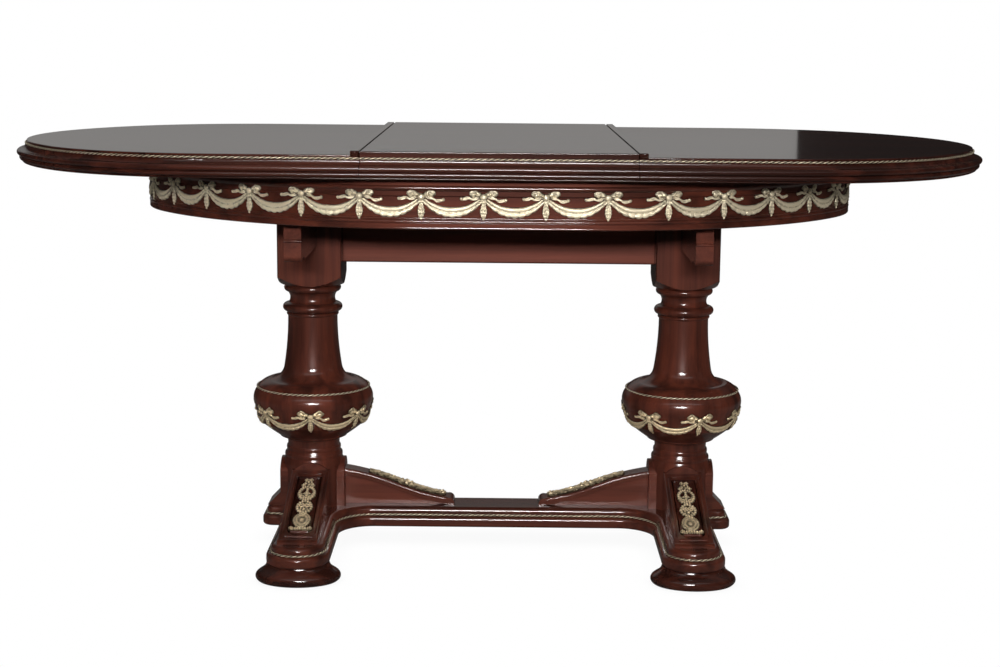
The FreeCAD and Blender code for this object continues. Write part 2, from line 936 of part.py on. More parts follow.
def outer_knee():
    """Short knee on the plinth's stub."""
    end = plate_face + outer_knee_length
    side = front_face((0, plinth_top), [((0, plinth_top + outer_knee_rise),),
                                        ((plate_face, plinth_top + outer_knee_rise),),
                                        ((end, plinth_top),)])
    return joined([centred(side, outer_knee_width), arch_plate()]).cut(drum_space())


def brace_curve(lift):
    """Reverse curve of the brace as start and two arc steps, raised by lift."""
    start = (plate_face, brace_top + lift)
    end = (plate_face + brace_length, brace_top - brace_drop + lift)
    half_chord = math.hypot(brace_length, brace_drop) / 2
    fall = math.atan2(brace_drop, brace_length)
    bend = fall - math.radians(brace_start_slope)
    bulge = half_chord / 2 * math.tan(bend / 2)
    normal = (math.sin(fall) * bulge, math.cos(fall) * bulge)

    def along(share, side):
        return (start[0] + brace_length * share + normal[0] * side,
                start[1] - brace_drop * share + normal[1] * side)

    middle = along(1 / 2, 0)
    return start, [(along(1 / 4, 1), middle), (along(3 / 4, -1), end)], end


def reversed_steps(start, steps):
    """Steps that walk an outline back to its start."""
    ends = [start] + [step[-1] for step in steps]
    back = []
    for index in range(len(steps) - 1, -1, -1):
        back.append(steps[index][:-1] + (ends[index],))
    return back


def brace_cap():
    """Moulded cap on the brace, curling down to the stretcher at its toe."""
    start, steps, end = brace_curve(0)
    low_start, low_steps, low_end = brace_curve(-cap_thickness)
    tip = (end[0] + brace_toe, plinth_top)
    curl = (end[0] + brace_toe - seat_gap, (end[1] + plinth_top) / 2)
    outline = steps + [(curl, tip), ((low_end[0], plinth_top),), (low_end,)]
    outline = outline + reversed_steps(low_start, low_steps)
    cap = centred(front_face(start, outline), cap_width)
    long_edges = [edge for edge in cap.Edges if edge.Length > brace_length / 2 / 2 and upper_edge(edge)]
    return cap.makeFillet(cap_round, long_edges)


def upper_edge(edge):
    """True for the cap's two upper long edges."""
    middle = edge.CenterOfMass
    share = (middle.x - plate_face) / brace_length
    return middle.z > brace_top - brace_drop * share - cap_thickness / 2 and abs(middle.y) > cap_round


def brace_web():
    """Panel under the brace's cap, with its arch plate."""
    start, steps, end = brace_curve(-cap_thickness)
    web = front_face((0, plinth_top), [((0, start[1]),), (start,)] + steps + [((end[0], plinth_top),)])
    return joined([centred(web, web_thickness), arch_plate()]).cut(drum_space())


def brace_mount():
    """Gilt strap along the top of the brace's cap."""
    start, steps = brace_curve(0)[:2]
    high_start, high_steps, high_end = brace_curve(strap_thickness)
    band = front_face(start, steps + [(high_end,)] + reversed_steps(high_start, high_steps))
    strap = centred(band, strap_width)
    trim = block((plate_face + strap_start, -strap_width, 0),
                 (plate_face + strap_end, strap_width, table_height))
    return strap.common(trim)


def oval(x, half_length, half_width):
    """Oval plate on the XY plane, its middle at a distance along the slope."""
    flat = Part.Ellipse(point(x, 0, 0), half_length, half_width).toShape()
    return Part.Face(Part.Wire(flat)).extrude(point(0, 0, mount_thickness))


def knee_mount():
    """Pierced gilt drop on the sunk panel: crest, wreath, scroll ring, medallion and base bar."""
    half = mount_thickness / 2
    x = mount_start + crest_half_length
    pieces = [oval(x, crest_half_length, crest_half_width)]
    x = x + crest_half_length
    for half_length, half_width, pierced in ((wreath_half_length, wreath_half_width, True),
                                             (scroll_half_length, scroll_half_width, True),
                                             (medal_half_length, medal_half_width, False)):
        x = x - half + half_length
        plate = oval(x, half_length, half_width)
        if pierced:
            plate = plate.cut(oval(x, half_length - wreath_band, half_width - wreath_band))
            plate = plate.fuse(block((x - half_length + half, -half, 0),
                                     (x + half_length - half, half, mount_thickness)))
        pieces.append(plate)
        x = x + half_length
    pieces.append(block((x - half, -bar_half_width, 0), (x + bar_length, bar_half_width, mount_thickness)))
    return on_slope(joined(pieces))


# Gilt garlands, drawn facing the front and wrapped on what carries them

def swag_outline(half_span, top, bottom, thick):
    """Crescent hung between two bows."""
    fall = top - bottom
    end = top - fall * swag_end_share
    return front_face((-half_span, end), [((0, bottom), (half_span, end)),
                                          ((0, bottom + thick), (-half_span, end))])


def loop_outline(half, height, top):
    """Right loop of a bow with its half of the knot."""
    low = top - height
    waist = top - height * bow_knot_share

    def place(pair):
        return (pair[0] * half, low + pair[1] * height)

    steps = scaled_steps(bow_loop_shares, place)
    return front_face((0, low), [((knot_half, low),)] + steps + [((knot_half, waist),), ((0, waist),)])


def tail_outline(reach, height, top):
    """Ribbon tail that dips as it runs out from the knot to a reach on one side."""
    low = top - height
    middle = low + height * tail_middle_share
    tip = low + height * tail_tip_share
    return front_face((0, top - height * bow_knot_share),
                      [((reach / 2, middle + knot_half / 2), (reach, tip)),
                       ((reach / 2, middle - knot_half / 2), (0, tip))])


def drop_outline(half, top, bottom):
    """Tapering pendant below a bow."""
    narrow = half * drop_taper_share
    return front_face((-narrow, top), [((-half, (top + bottom) / 2), (0, bottom)),
                                       ((half, (top + bottom) / 2), (narrow, top))])


def garland_bow(half, tail, top, foot, bottom):
    """Outlines of a bow: its loops, two tails and pendant."""
    height = top - foot
    right = [loop_outline(half, height, top), tail_outline(tail, height, top)]
    left = [face.mirror(point(0, 0, 0), point(1, 0, 0)) for face in right]
    return right + left + [drop_outline(drop_half, foot + seat_gap, bottom)]


def cutter(faces, depth):
    """Prism of overlapping front outlines, a depth to both sides."""
    return joined([centred(face, depth * 2) for face in faces])


def facing(prism, place, angle):
    """Cutting prism set at a place to look along an outward angle."""
    return moved(turned(prism, angle + quarter_turn), place.x, place.y, place.z)


def apron_garlands():
    """Bows with pendants, and the swags between them, round the whole frieze."""
    runs = list(apron_runs().values())
    face = mount_sink - frieze_setback
    top = frame_top - garland_margin
    bottom = top - garland_height
    skin = joined([run_sweep(run, front_face((face, bottom),
                                             [((face + mount_thickness, bottom),),
                                              ((face + mount_thickness, top),),
                                              ((face, top),)])) for run in runs])
    spacing = sum(run_length(run, face) for run in runs) / garland_count
    foot = top - bow_height
    bow = cutter(garland_bow(bow_half, tail_half, top, foot, bottom), apron_wall)
    swag = cutter([swag_outline(spacing / 2 * swag_span_share, foot, bottom, swag_thick)], apron_wall)
    bows = []
    swags = []
    for index in range(garland_count):
        place, angle = station(runs, face, spacing * (index + garland_phase_share))
        bows.extend(skin.common(facing(bow, place, angle)).Solids)
        place, angle = station(runs, face, spacing * (index + garland_phase_share + 1 / 2))
        swags.extend(skin.common(facing(swag, place, angle)).Solids)
    return bows, swags


def bulb_garlands(turn):
    """Bows and swags round the bulb of a column at the origin."""
    skin = spun(column_profile(bulb_mount_thickness + mount_sink)).cut(spun(column_profile(mount_sink)))
    step = full_turn / bulb_garland_count
    half_span = bulb_radius * bulb_girth_share * math.sin(math.radians(step / 2)) * swag_span_share
    top, foot, bottom = (column_place((1, share))[1] for share in bulb_garland_shares)
    bow = cutter(garland_bow(bulb_bow_half, bulb_tail_half, top, foot, bottom), bulb_radius / 2)
    swag = cutter([swag_outline(half_span, foot, bottom, bulb_swag_thick)], bulb_radius / 2)
    solids = []
    for index in range(bulb_garland_count):
        angle = turn - quarter_turn + step * index
        for prism, heading in ((bow, angle), (swag, angle + step / 2)):
            out = point(math.cos(math.radians(heading)), math.sin(math.radians(heading)), 0) * bulb_radius
            solids.extend(skin.common(facing(prism, out, heading)).Solids)
    return solids


def shoulder_bead():
    """Brass cord round the shoulder of a bulb."""
    radius, height = column_place(shoulder_bead_share)
    return Part.makeTorus(radius, bead_radius, point(0, 0, height))


def build_tops():
    """End tops with their runners, and the folding leaf."""
    panel = end_top_panel()
    screws = runner_screws()
    mates = [screw.mirror(point(0, 0, 0), point(0, 1, 0)) for screw in screws]
    for screw in screws + mates:
        panel = panel.cut(screw)
    bar = runner()
    for screw in screws:
        bar = bar.cut(screw)
    bars = [bar, bar.mirror(point(0, 0, 0), point(0, 1, 0))]
    lipping = swept_top(lipping_profile())
    bead = swept_top(bead_profile())
    for name, angle in (("right", 0), ("left", half_turn)):
        save(name + "_top_panel", turned(panel, angle))
        save(name + "_top_moulding", turned(lipping, angle))
        save(name + "_top_bead", turned(bead, angle))
        save(name + "_joint_strip", turned(end_top_strip(), angle))
        save(name + "_runners", [turned(shape, angle) for shape in bars])
        save(name + "_runner_screws", [turned(shape, angle) for shape in screws + mates])
    for name, angle in (("front", 0), ("rear", half_turn)):
        save(name + "_leaf_panel", turned(leaf_panel(), angle))
        save(name + "_leaf_moulding", turned(run_sweep(leaf_run(), lipping_profile()), angle))
        save(name + "_leaf_bead", turned(run_sweep(leaf_run(), bead_profile()), angle))
        save(name + "_leaf_hinges", [turned(shape, angle) for shape in leaf_barrels()])


def build_frame():
    """Apron, cross rails and slide guides."""
    save("front_apron", apron_piece(("front_left", "front", "front_right")))
    save("rear_apron", apron_piece(("rear_right", "rear", "rear_left")))
    save("left_apron_end", apron_piece(("left",)))
    save("right_apron_end", apron_piece(("right",)))
    for name, angle in (("right", 0), ("left", half_turn)):
        save(name + "_cross_rail", turned(cross_rail(), angle))
    for name, angle in (("front", 0), ("rear", half_turn)):
        save(name + "_slide_guide", turned(slide_guide(), angle))
    save("slide_stops", four_ways(slide_stop()))
    save("apron_corner_blocks", four_ways(corner_block()))
    save("frame_bolts", frame_bolts() + [turned(bolt, half_turn) for bolt in frame_bolts()])


def build_pedestals():
    """Columns, bearers, the long rail and the base."""
    beam = bearer()
    for bolt in frame_bolts():
        beam = beam.cut(moved(bolt, -pedestal_reach, 0, 0))
    post = column().cut(moved(rail_tenon(), -pedestal_reach, 0, 0))
    for name, angle in (("right", 0), ("left", half_turn)):
        save(name + "_bearer", turned(moved(beam, pedestal_reach, 0, 0), angle))
        save(name + "_column", turned(moved(post, pedestal_reach, 0, 0), angle))
    save("top_rail", top_rail())
    left, stretcher, right = plinth_pieces(whole_plinth())
    save("left_plinth", left)
    save("stretcher", stretcher)
    save("right_plinth", right)
    save("foot_pads", four_ways(foot_pad()))


def build_knees():
    """Knees and braces round each column."""
    leg = knee_leg()
    mount = knee_mount()
    mounts = []
    straps = []
    for name, side in (("right", 1), ("left", -1)):
        base = pedestal_reach * side
        for row, angle in (("front", -quarter_turn), ("rear", quarter_turn)):
            save(name + "_" + row + "_knee", moved(turned(leg, angle), base, 0, 0))
            mounts.append(moved(turned(mount, angle), base, 0, 0))
        outward = 0 if side > 0 else half_turn
        inward = half_turn - outward
        save(name + "_outer_knee", moved(turned(outer_knee(), outward), base, 0, 0))
        save(name + "_brace_web", moved(turned(brace_web(), inward), base, 0, 0))
        save(name + "_brace_cap", moved(turned(brace_cap(), inward), base, 0, 0))
        straps.append(moved(turned(brace_mount(), inward), base, 0, 0))
    save("knee_mounts", mounts)
    save("brace_mounts", straps)


def build_mounts():
    """Gilt garlands and brass cords."""
    bows, swags = apron_garlands()
    save("apron_bows", bows)
    save("apron_swags", swags)
    bulbs = (("right", pedestal_reach, right_bulb_turn), ("left", -pedestal_reach, left_bulb_turn))
    for name, place, turn in bulbs:
        save(name + "_bulb_garland", [moved(shape, place, 0, 0) for shape in bulb_garlands(turn)])
    save("shoulder_beads", [moved(shoulder_bead(), x, 0, 0) for x in (-pedestal_reach, pedestal_reach)])
    save("plinth_beads", plinth_beads())


os.makedirs("parts", exist_ok=True)
build_tops()
build_frame()
build_pedestals()
build_knees()
build_mounts()
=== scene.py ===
"""Looks of a double pedestal dining table: lacquered mahogany with gilt brass mounts.

Metres. The frame's own axes: +X along the table, +Y to its rear, +Z up. The wooden pieces are the
frame's nodes with a new finish. The gilt mounts are modelled here and stand for plain nodes.
"""
import json
import math

import bpy
import numpy as np
from mathutils import Euler, Matrix, Vector

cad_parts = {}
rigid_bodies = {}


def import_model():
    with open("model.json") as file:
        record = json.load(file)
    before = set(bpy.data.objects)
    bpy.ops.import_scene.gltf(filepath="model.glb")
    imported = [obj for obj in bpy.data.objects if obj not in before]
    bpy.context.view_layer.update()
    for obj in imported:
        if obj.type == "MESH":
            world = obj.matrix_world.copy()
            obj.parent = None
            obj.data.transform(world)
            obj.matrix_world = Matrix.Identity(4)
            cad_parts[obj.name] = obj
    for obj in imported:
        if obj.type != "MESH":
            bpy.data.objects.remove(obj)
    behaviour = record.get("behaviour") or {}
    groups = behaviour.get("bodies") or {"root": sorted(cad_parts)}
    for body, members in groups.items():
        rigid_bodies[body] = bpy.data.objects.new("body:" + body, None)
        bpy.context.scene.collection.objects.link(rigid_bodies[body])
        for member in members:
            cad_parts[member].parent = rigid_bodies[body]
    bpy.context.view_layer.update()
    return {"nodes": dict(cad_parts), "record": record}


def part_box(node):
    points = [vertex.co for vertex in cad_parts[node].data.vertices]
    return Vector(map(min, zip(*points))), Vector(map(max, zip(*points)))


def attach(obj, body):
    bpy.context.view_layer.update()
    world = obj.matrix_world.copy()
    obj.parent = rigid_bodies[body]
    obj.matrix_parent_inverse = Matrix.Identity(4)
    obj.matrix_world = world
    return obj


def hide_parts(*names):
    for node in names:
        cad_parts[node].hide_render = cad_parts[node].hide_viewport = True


for leftover in list(bpy.data.objects):
    bpy.data.objects.remove(leftover)

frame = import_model()

bl_info = {
    "name": "Double pedestal dining table",
    "version": (1, 0, 0),
    "blender": (4, 5, 0),
    "location": "3D View > Sidebar > Table",
    "description": "Gilt mounts, finishes and studio for an oval extending table",
    "category": "Object",
}

# Places taken from the frame
BASE = "base"
LEAF_LOW, LEAF_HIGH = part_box("front_leaf_panel")
COLUMN_LOW, COLUMN_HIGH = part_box("right_column")
PLINTH_LOW, PLINTH_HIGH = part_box("right_plinth")
HALF_LEAF = LEAF_HIGH.x
SLAB_HALF_WIDTH = -LEAF_LOW.y
STRIP_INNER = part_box("right_joint_strip")[0].x
APRON_HALF_WIDTH = -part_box("front_apron")[0].y
APRON_HALF_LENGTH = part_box("right_apron_end")[1].x
STRETCHER_HALF_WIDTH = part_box("stretcher")[1].y
PEDESTAL_REACH = (COLUMN_LOW.x + COLUMN_HIGH.x) / 2
PEDESTALS = {"left": -PEDESTAL_REACH, "right": PEDESTAL_REACH}

FULL_TURN = 2 * math.pi
# Half width that a strip keeps at its closed ends
THINNEST = 1e-5
# Share of its reach at which a boss's first ring lies
BOSS_START = 0.06


def length(name, description, default):
    """A length property in metres."""
    return bpy.props.FloatProperty(name=name, description=description, default=default, unit="LENGTH",
                                   subtype="DISTANCE", precision=4)


def share(name, description, default):
    """A property between nought and one."""
    return bpy.props.FloatProperty(name=name, description=description, default=default, min=0, max=1,
                                   subtype="FACTOR")


def tilt(name, description, default):
    """An angle property in radians."""
    return bpy.props.FloatProperty(name=name, description=description, default=default, subtype="ANGLE")


def wattage(name, description, default):
    """A light's power property in watts."""
    return bpy.props.FloatProperty(name=name, description=description, default=default, unit="POWER")


def hex_linear(code):
    """Linear red, green and blue of an sRGB hex colour."""
    values = np.array([int(code[place:place + 2], 16) for place in (1, 3, 5)]) / 255
    linear = np.where(values <= 0.04045, values / 12.92, ((values + 0.055) / 1.055) ** 2.4)
    return tuple(float(value) for value in linear)


def colour(name, description, code):
    """A colour property from an sRGB hex code."""
    return bpy.props.FloatVectorProperty(name=name, description=description, default=hex_linear(code),
                                         subtype="COLOR", size=3, min=0, max=1)


class OutlineSizes(bpy.types.PropertyGroup):
    """Sizes of the plans that cords and garlands follow."""
    top_straight: length("Top straight", "Straight side of an end top before it turns", 0.245)
    end_depth: length("End depth", "Depth of an end top's oval past its straight side", 0.4)
    end_corner: length("End corner", "Radius of an end top's corner arcs", 0.36)
    strip_ease: length("Strip ease", "Radius of the arrises of the raised strips", 0.0008)
    strip_lean: length("Strip lean", "How far a raised strip leans back from its joint", 0.0018)
    apron_straight: length("Apron straight", "Half the straight part of the apron's front", 0.13)
    apron_end: length("Apron end", "Radius of the apron's ends", 0.33)
    frieze_setback: length("Frieze setback", "Depth of the frieze behind the apron's mouldings", 0.004)
    foot_half_width: length("Foot half width", "Half the width of a cross plinth's foot", 0.057)
    stub_corner: length("Stub corner", "Corner radius of the plinth's outer stub", 0.022)
    outer_sweep: length("Outer sweep", "Radius between foot and stub", 0.012)
    inner_sweep: length("Inner sweep", "Radius between foot and stretcher", 0.065)
    ledge_width: length("Ledge width", "Width of the plinth's ledge", 0.009)
    ledge_height: length("Ledge height", "Height of the plinth's ledge over the floor", 0.054)


class CordSizes(bpy.types.PropertyGroup):
    """Sizes of the brass cords."""
    radius: length("Radius", "Outer radius of the twisted cord", 0.0018)
    pitch: length("Pitch", "Length of one full twist", 0.02)
    step: length("Step", "Distance between two rings of the cord's skin", 0.0011)


class RingSizes(bpy.types.PropertyGroup):
    """Sizes of the rings turned on the drums."""
    upper_height: length("Upper height", "Height of the upper bead over the floor", 0.1805)
    lower_height: length("Lower height", "Height of the lower bead over the floor", 0.1668)
    line_height: length("Line height", "Height of the fine line over the floor", 0.2056)
    bead_half: length("Bead half", "Half the height of a bead", 0.0048)
    line_half: length("Line half", "Half the height of the fine line", 0.0016)
    reach_share: share("Reach share", "How far a ring stands out, as a share of its half height", 0.32)


class GarlandSizes(bpy.types.PropertyGroup):
    """Sizes of the bows and swags on the apron."""
    count: bpy.props.IntProperty(name="Count", description="Bows round the apron", default=34, min=4)
    phase: share("Phase", "Place of the first bow past the front straight, in spacings", 0.02)
    knot_height: length("Knot height", "Height of the bow knots over the floor", 0.7035)
    loop_reach: length("Loop reach", "Distance of a loop's middle from the knot", 0.0125)
    loop_half: length("Loop half", "Half the length of a loop", 0.0112)
    tail_reach: length("Tail reach", "Reach of a ribbon tail from the knot", 0.0365)
    tail_half: length("Tail half", "Half the width of a ribbon tail", 0.0027)
    drop_length: length("Drop length", "Length of the husk drop under the knot", 0.0385)
    drop_half: length("Drop half", "Half the width of the husk drop", 0.0074)
    swag_thick: length("Swag thickness", "Thickness of a swag at its middle", 0.0188)
    swag_fall: length("Swag fall", "Fall of a swag's middle line below the knots", 0.0245)
    relief: length("Relief", "Highest relief over the wood", 0.005)


class BulbGarlandSizes(bpy.types.PropertyGroup):
    """Sizes of the bows and swags on the bulbs."""
    count: bpy.props.IntProperty(name="Count", description="Bows round a bulb", default=7, min=3)
    left_turn: tilt("Left turn", "Turn of the left bulb's garland", math.radians(2.8))
    right_turn: tilt("Right turn", "Turn of the right bulb's garland", math.radians(13))
    knot_height: length("Knot height", "Height of the bow knots over the floor", 0.2595)
    loop_reach: length("Loop reach", "Distance of a loop's middle from the knot", 0.013)
    loop_half: length("Loop half", "Half the length of a loop", 0.0116)
    tail_reach: length("Tail reach", "Reach of a ribbon tail from the knot", 0.0335)
    tail_half: length("Tail half", "Half the width of a ribbon tail", 0.0026)
    drop_length: length("Drop length", "Length of the husk drop under the knot", 0.033)
    drop_half: length("Drop half", "Half the width of the husk drop", 0.0068)
    swag_thick: length("Swag thickness", "Thickness of a swag at its middle", 0.0155)
    swag_fall: length("Swag fall", "Fall of a swag's middle line below the knots", 0.0222)
    relief: length("Relief", "Highest relief over the wood", 0.004)


class MountSizes(bpy.types.PropertyGroup):
    """Sizes of the mounts on knees and braces."""
    plate_face: length("Plate face", "Distance of a knee's plate from its column's axis", 0.0615)
    knee_top: length("Knee top", "Height of the knee where its slope starts", 0.146)
    brace_top: length("Brace top", "Height of a brace's cap at its column", 0.14)
    knee_foot: length("Knee foot", "Height of the knee where its slope ends", 0.076)
    knee_run: length("Knee run", "Level length of the knee's slope", 0.2235)
    panel_depth: length("Panel depth", "Depth of the knee's sunk panel", 0.007)
    mount_start: length("Mount start", "Start of the mount along the slope", 0.017)
    # Power on the relief: worn gilt and painted shade deepen in the knee mounts' hollows and round their
    # rims
    knee_wear_and_shade: bpy.props.FloatProperty(name="Knee wear", default=1.3, min=0.1,
                                       description="Power that darkens a knee mount's hollows")
    brace_run: length("Brace run", "Level length of a brace's cap", 0.2005)
    brace_drop: length("Brace drop", "Fall of a brace's cap", 0.056)
    brace_slope: tilt("Brace slope", "Slope at the top of the brace", math.radians(9))
    strap_start: length("Strap start", "Start of the leaf on the brace", 0.044)
    strap_end: length("Strap end", "End of the leaf on the brace", 0.194)
    strap_half: length("Strap half", "Half the width of the leaf on the brace", 0.019)


class CarvingSizes(bpy.types.PropertyGroup):
    """Sizes of the carved wood on the long knees."""
    panel_start: length("Panel start", "Start of the dark panel along the slope", 0.0095)
    panel_end: length("Panel end", "End of the dark panel along the slope", 0.2185)
    panel_half: length("Panel half", "Half the width of the dark panel", 0.0232)
    panel_skin: length("Panel skin", "Thickness of the dark panel", 0.0006)
    bead_reach: length("Bead reach", "Distance of a side bead from the knee's middle", 0.0285)
    bead_half: length("Bead half", "Half the width of a side bead", 0.0024)
    roll_place: length("Roll place", "Place of the roll under the mount, along the slope", 0.2065)
    roll_reach: length("Roll reach", "Half the length of the roll under the mount", 0.0175)
    toe_place: length("Toe place", "Place of the roll at the toe, along the slope", 0.2265)
    toe_reach: length("Toe reach", "Half the length of the roll at the toe", 0.027)
    roll_half: length("Roll half", "Half the width of a roll", 0.0042)


class FinishColours(bpy.types.PropertyGroup):
    """Colours of the finishes."""
    wood_dark: colour("Mahogany dark", "Dark bands of the mahogany", "#27120d")
    wood_mid: colour("Mahogany", "Body colour of the mahogany", "#3d1d15")
    wood_light: colour("Mahogany light", "Light bands of the mahogany", "#4e251a")
    wood_sheen: colour("Mahogany sheen", "Soft sheen of the figure under the lacquer", "#ff9c86")
    gilt: colour("Gilt", "Raised gilt brass", "#e4d6b8")
    gilt_aged: colour("Aged gilt", "Raised gilt brass on bulbs, knees and braces", "#ead4ad")
    # Hollow colour of the gilt: worn gilding and wax, and painted shade in hollows, between cord strands
    # and round the mounts' rims
    gilt_worn_and_shade: colour("Worn gilt", "Hollows of the gilt brass", "#2b1d0c")
    beech: colour("Beech", "Frame timber", "#b08a5c")
    beech_dark: colour("Beech dark", "Dark flecks of the frame timber", "#8a6238")
    zinc: colour("Zinc", "Plated screws and bolts", "#b9bcbe")
    floor: colour("Floor", "Studio floor as the table sees it", "#6a6967")


class StageSettings(bpy.types.PropertyGroup):
    """Camera and studio light."""
    lens: bpy.props.FloatProperty(name="Lens", description="Focal length", default=63.6, unit="CAMERA")
    sensor: bpy.props.FloatProperty(name="Sensor", description="Sensor width", default=36.0, unit="CAMERA")
    place: bpy.props.FloatVectorProperty(name="Place", description="Camera's place", subtype="TRANSLATION",
                                         default=(0.0038, -3.3331, 0.9688))
    pitch: tilt("Pitch", "How far the camera looks down", math.radians(9.63))
    roll: tilt("Roll", "Camera's turn about its own axis", 0.0095)
    key_power: wattage("Key power", "Softbox just over the camera", 6.5)
    key_spread: tilt("Key spread", "Width of the key softbox's beam", math.radians(38))
    front_power: wattage("Front power", "Wide softbox high over the camera", 14.0)
    side_power: wattage("Side power", "Each of the two side softboxes", 36.0)
    rear_power: wattage("Rear power", "Softbox behind the table", 40.0)
    top_power: wattage("Top power", "Softbox over the table", 10.0)


GROUPS = {
    "table_outline": OutlineSizes,
    "table_cord": CordSizes,
    "table_ring": RingSizes,
    "table_garland": GarlandSizes,
    "table_bulb_garland": BulbGarlandSizes,
    "table_mount": MountSizes,
    "table_carving": CarvingSizes,
    "table_colour": FinishColours,
    "table_stage": StageSettings,
}


# Tracks: plans that cords and garlands follow

def walk(runs, step):
    """Points and outward normals along runs, closely spaced.

    A straight run is its start plus a share of its length. A round run is its centre plus its radius
    times the cosine and sine of an angle that goes evenly from start to end. The outside lies to the
    right of the way, so the normal is the tangent turned by a right angle clockwise.
    """
    points = []
    normals = []
    for run in runs:
        if run[0] == "line":
            start = np.array(run[1])
            end = np.array(run[2])
            far = np.linalg.norm(end - start)
            part = np.linspace(0, 1, max(2, int(far / step)))[:, None]
            tangent = np.repeat((end - start)[None] / far, len(part), axis=0)
            points.append(start + part * (end - start))
        else:
            centre, radius, first, last = run[1:]
            turn = math.radians(last - first)
            angle = math.radians(first) + turn * np.linspace(0, 1, max(8, int(abs(turn) * radius / step)))
            points.append(np.array(centre) + radius * np.stack([np.cos(angle), np.sin(angle)], axis=1))
            tangent = np.stack([-np.sin(angle), np.cos(angle)], axis=1) * np.sign(turn)
        normals.append(np.stack([tangent[:, 1], -tangent[:, 0]], axis=1))
    return np.concatenate(points), np.concatenate(normals)


def offset_track(points, normals, offset):
    """Track moved outwards, with the distance walked at each point."""
    moved = points + normals * offset
    gaps = np.linalg.norm(np.diff(moved, axis=0), axis=1)
    keep = np.concatenate([[True], gaps > 1e-7])
    moved = moved[keep]
    walked = np.concatenate([[0], np.cumsum(np.linalg.norm(np.diff(moved, axis=0), axis=1))])
    return walked, moved, normals[keep]


def along(track, distance):
    """Points and normals of a track at any distances, read between its points."""
    walked, points, normals = track
    place = np.stack([np.interp(distance, walked, points[:, axis]) for axis in (0, 1)], axis=-1)
    out = np.stack([np.interp(distance, walked, normals[:, axis]) for axis in (0, 1)], axis=-1)
    return place, out / np.linalg.norm(out, axis=-1, keepdims=True)


def end_radius(depth, half, corner):
    """Radius of the arc that closes a half oval between two corner arcs, touching both."""
    return (depth ** 2 + half ** 2 - 2 * half * corner) / (2 * (depth - corner))


def end_top_runs(outline):
    """Runs round the right end top: side, corner, end, corner, side."""
    half = SLAB_HALF_WIDTH
    turn_start = HALF_LEAF + outline.top_straight
    radius = end_radius(outline.end_depth, half, outline.end_corner)
    corner_y = half - outline.end_corner
    hinge = 90 - math.degrees(math.atan2(radius - outline.end_depth, corner_y))
    return [
        ("line", (STRIP_INNER, -half), (turn_start, -half)),
        ("arc", (turn_start, -corner_y), outline.end_corner, -90, -hinge),
        ("arc", (turn_start + outline.end_depth - radius, 0), radius, -hinge, hinge),
        ("arc", (turn_start, corner_y), outline.end_corner, hinge, 90),
        ("line", (turn_start, half), (STRIP_INNER, half)),
    ]


def apron_runs(outline):
    """Runs round the oval apron from the start of its front straight."""
    straight = outline.apron_straight
    half_width = APRON_HALF_WIDTH
    sweep = end_radius(half_width, APRON_HALF_LENGTH - straight, outline.apron_end)
    centre_x = APRON_HALF_LENGTH - outline.apron_end
    centre_y = sweep - half_width
    lean = math.degrees(math.atan2(centre_y, centre_x - straight))
    return [
        ("line", (-straight, -half_width), (straight, -half_width)),
        ("arc", (straight, centre_y), sweep, -90, -lean),
        ("arc", (centre_x, 0), outline.apron_end, -lean, lean),
        ("arc", (straight, -centre_y), sweep, lean, 90),
        ("line", (straight, half_width), (-straight, half_width)),
        ("arc", (-straight, -centre_y), sweep, 90, 180 - lean),
        ("arc", (-centre_x, 0), outline.apron_end, 180 - lean, 180 + lean),
        ("arc", (-straight, centre_y), sweep, 180 + lean, 270),
    ]


def plinth_track(outline, offset, step):
    """Closed track round the plinth, built from its right front quarter and mirrored."""
    half = STRETCHER_HALF_WIDTH
    near = PEDESTAL_REACH - outline.foot_half_width
    far = PEDESTAL_REACH + outline.foot_half_width
    toe = -PLINTH_LOW.y - outline.foot_half_width
    end = PLINTH_HIGH.x
    sweep_in = outline.inner_sweep
    sweep_out = outline.outer_sweep
    corner = outline.stub_corner
    quarter = [
        ("line", (0, -half), (near - sweep_in, -half)),
        ("arc", (near - sweep_in, -half - sweep_in), sweep_in, 90, 0),
        ("line", (near, -half - sweep_in), (near, -toe)),
        ("arc", (PEDESTAL_REACH, -toe), outline.foot_half_width, 180, 360),
        ("line", (far, -toe), (far, -half - sweep_out)),
        ("arc", (far + sweep_out, -half - sweep_out), sweep_out, 180, 90),
        ("line", (far + sweep_out, -half), (end - corner, -half)),
        ("arc", (end - corner, -half + corner), corner, -90, 0),
        ("line", (end, -half + corner), (end, 0)),
    ]
    points, normals = walk(quarter, step)
    mirror = np.array([1, -1])
    right = np.concatenate([points, points[::-1] * mirror])
    right_out = np.concatenate([normals, normals[::-1] * mirror])
    return offset_track(np.concatenate([right, -right]), np.concatenate([right_out, -right_out]), offset)


# Skins: closed surfaces made of rings

def skin_faces(rows, around):
    """Triangles of a closed skin: a pole, rows of rings that wrap, and a pole."""
    index = 1 + np.arange(rows * around).reshape(rows, around)
    after = np.roll(index, -1, axis=1)
    low, low_after, high, high_after = index[:-1], after[:-1], index[1:], after[1:]
    sides = np.concatenate([np.stack([low, low_after, high_after], axis=-1).reshape(-1, 3),
                            np.stack([low, high_after, high], axis=-1).reshape(-1, 3)])
    start = np.stack([np.zeros(around, int), after[0], index[0]], axis=-1)
    end = np.stack([np.full(around, rows * around + 1), index[-1], after[-1]], axis=-1)
    return np.concatenate([start, sides, end])


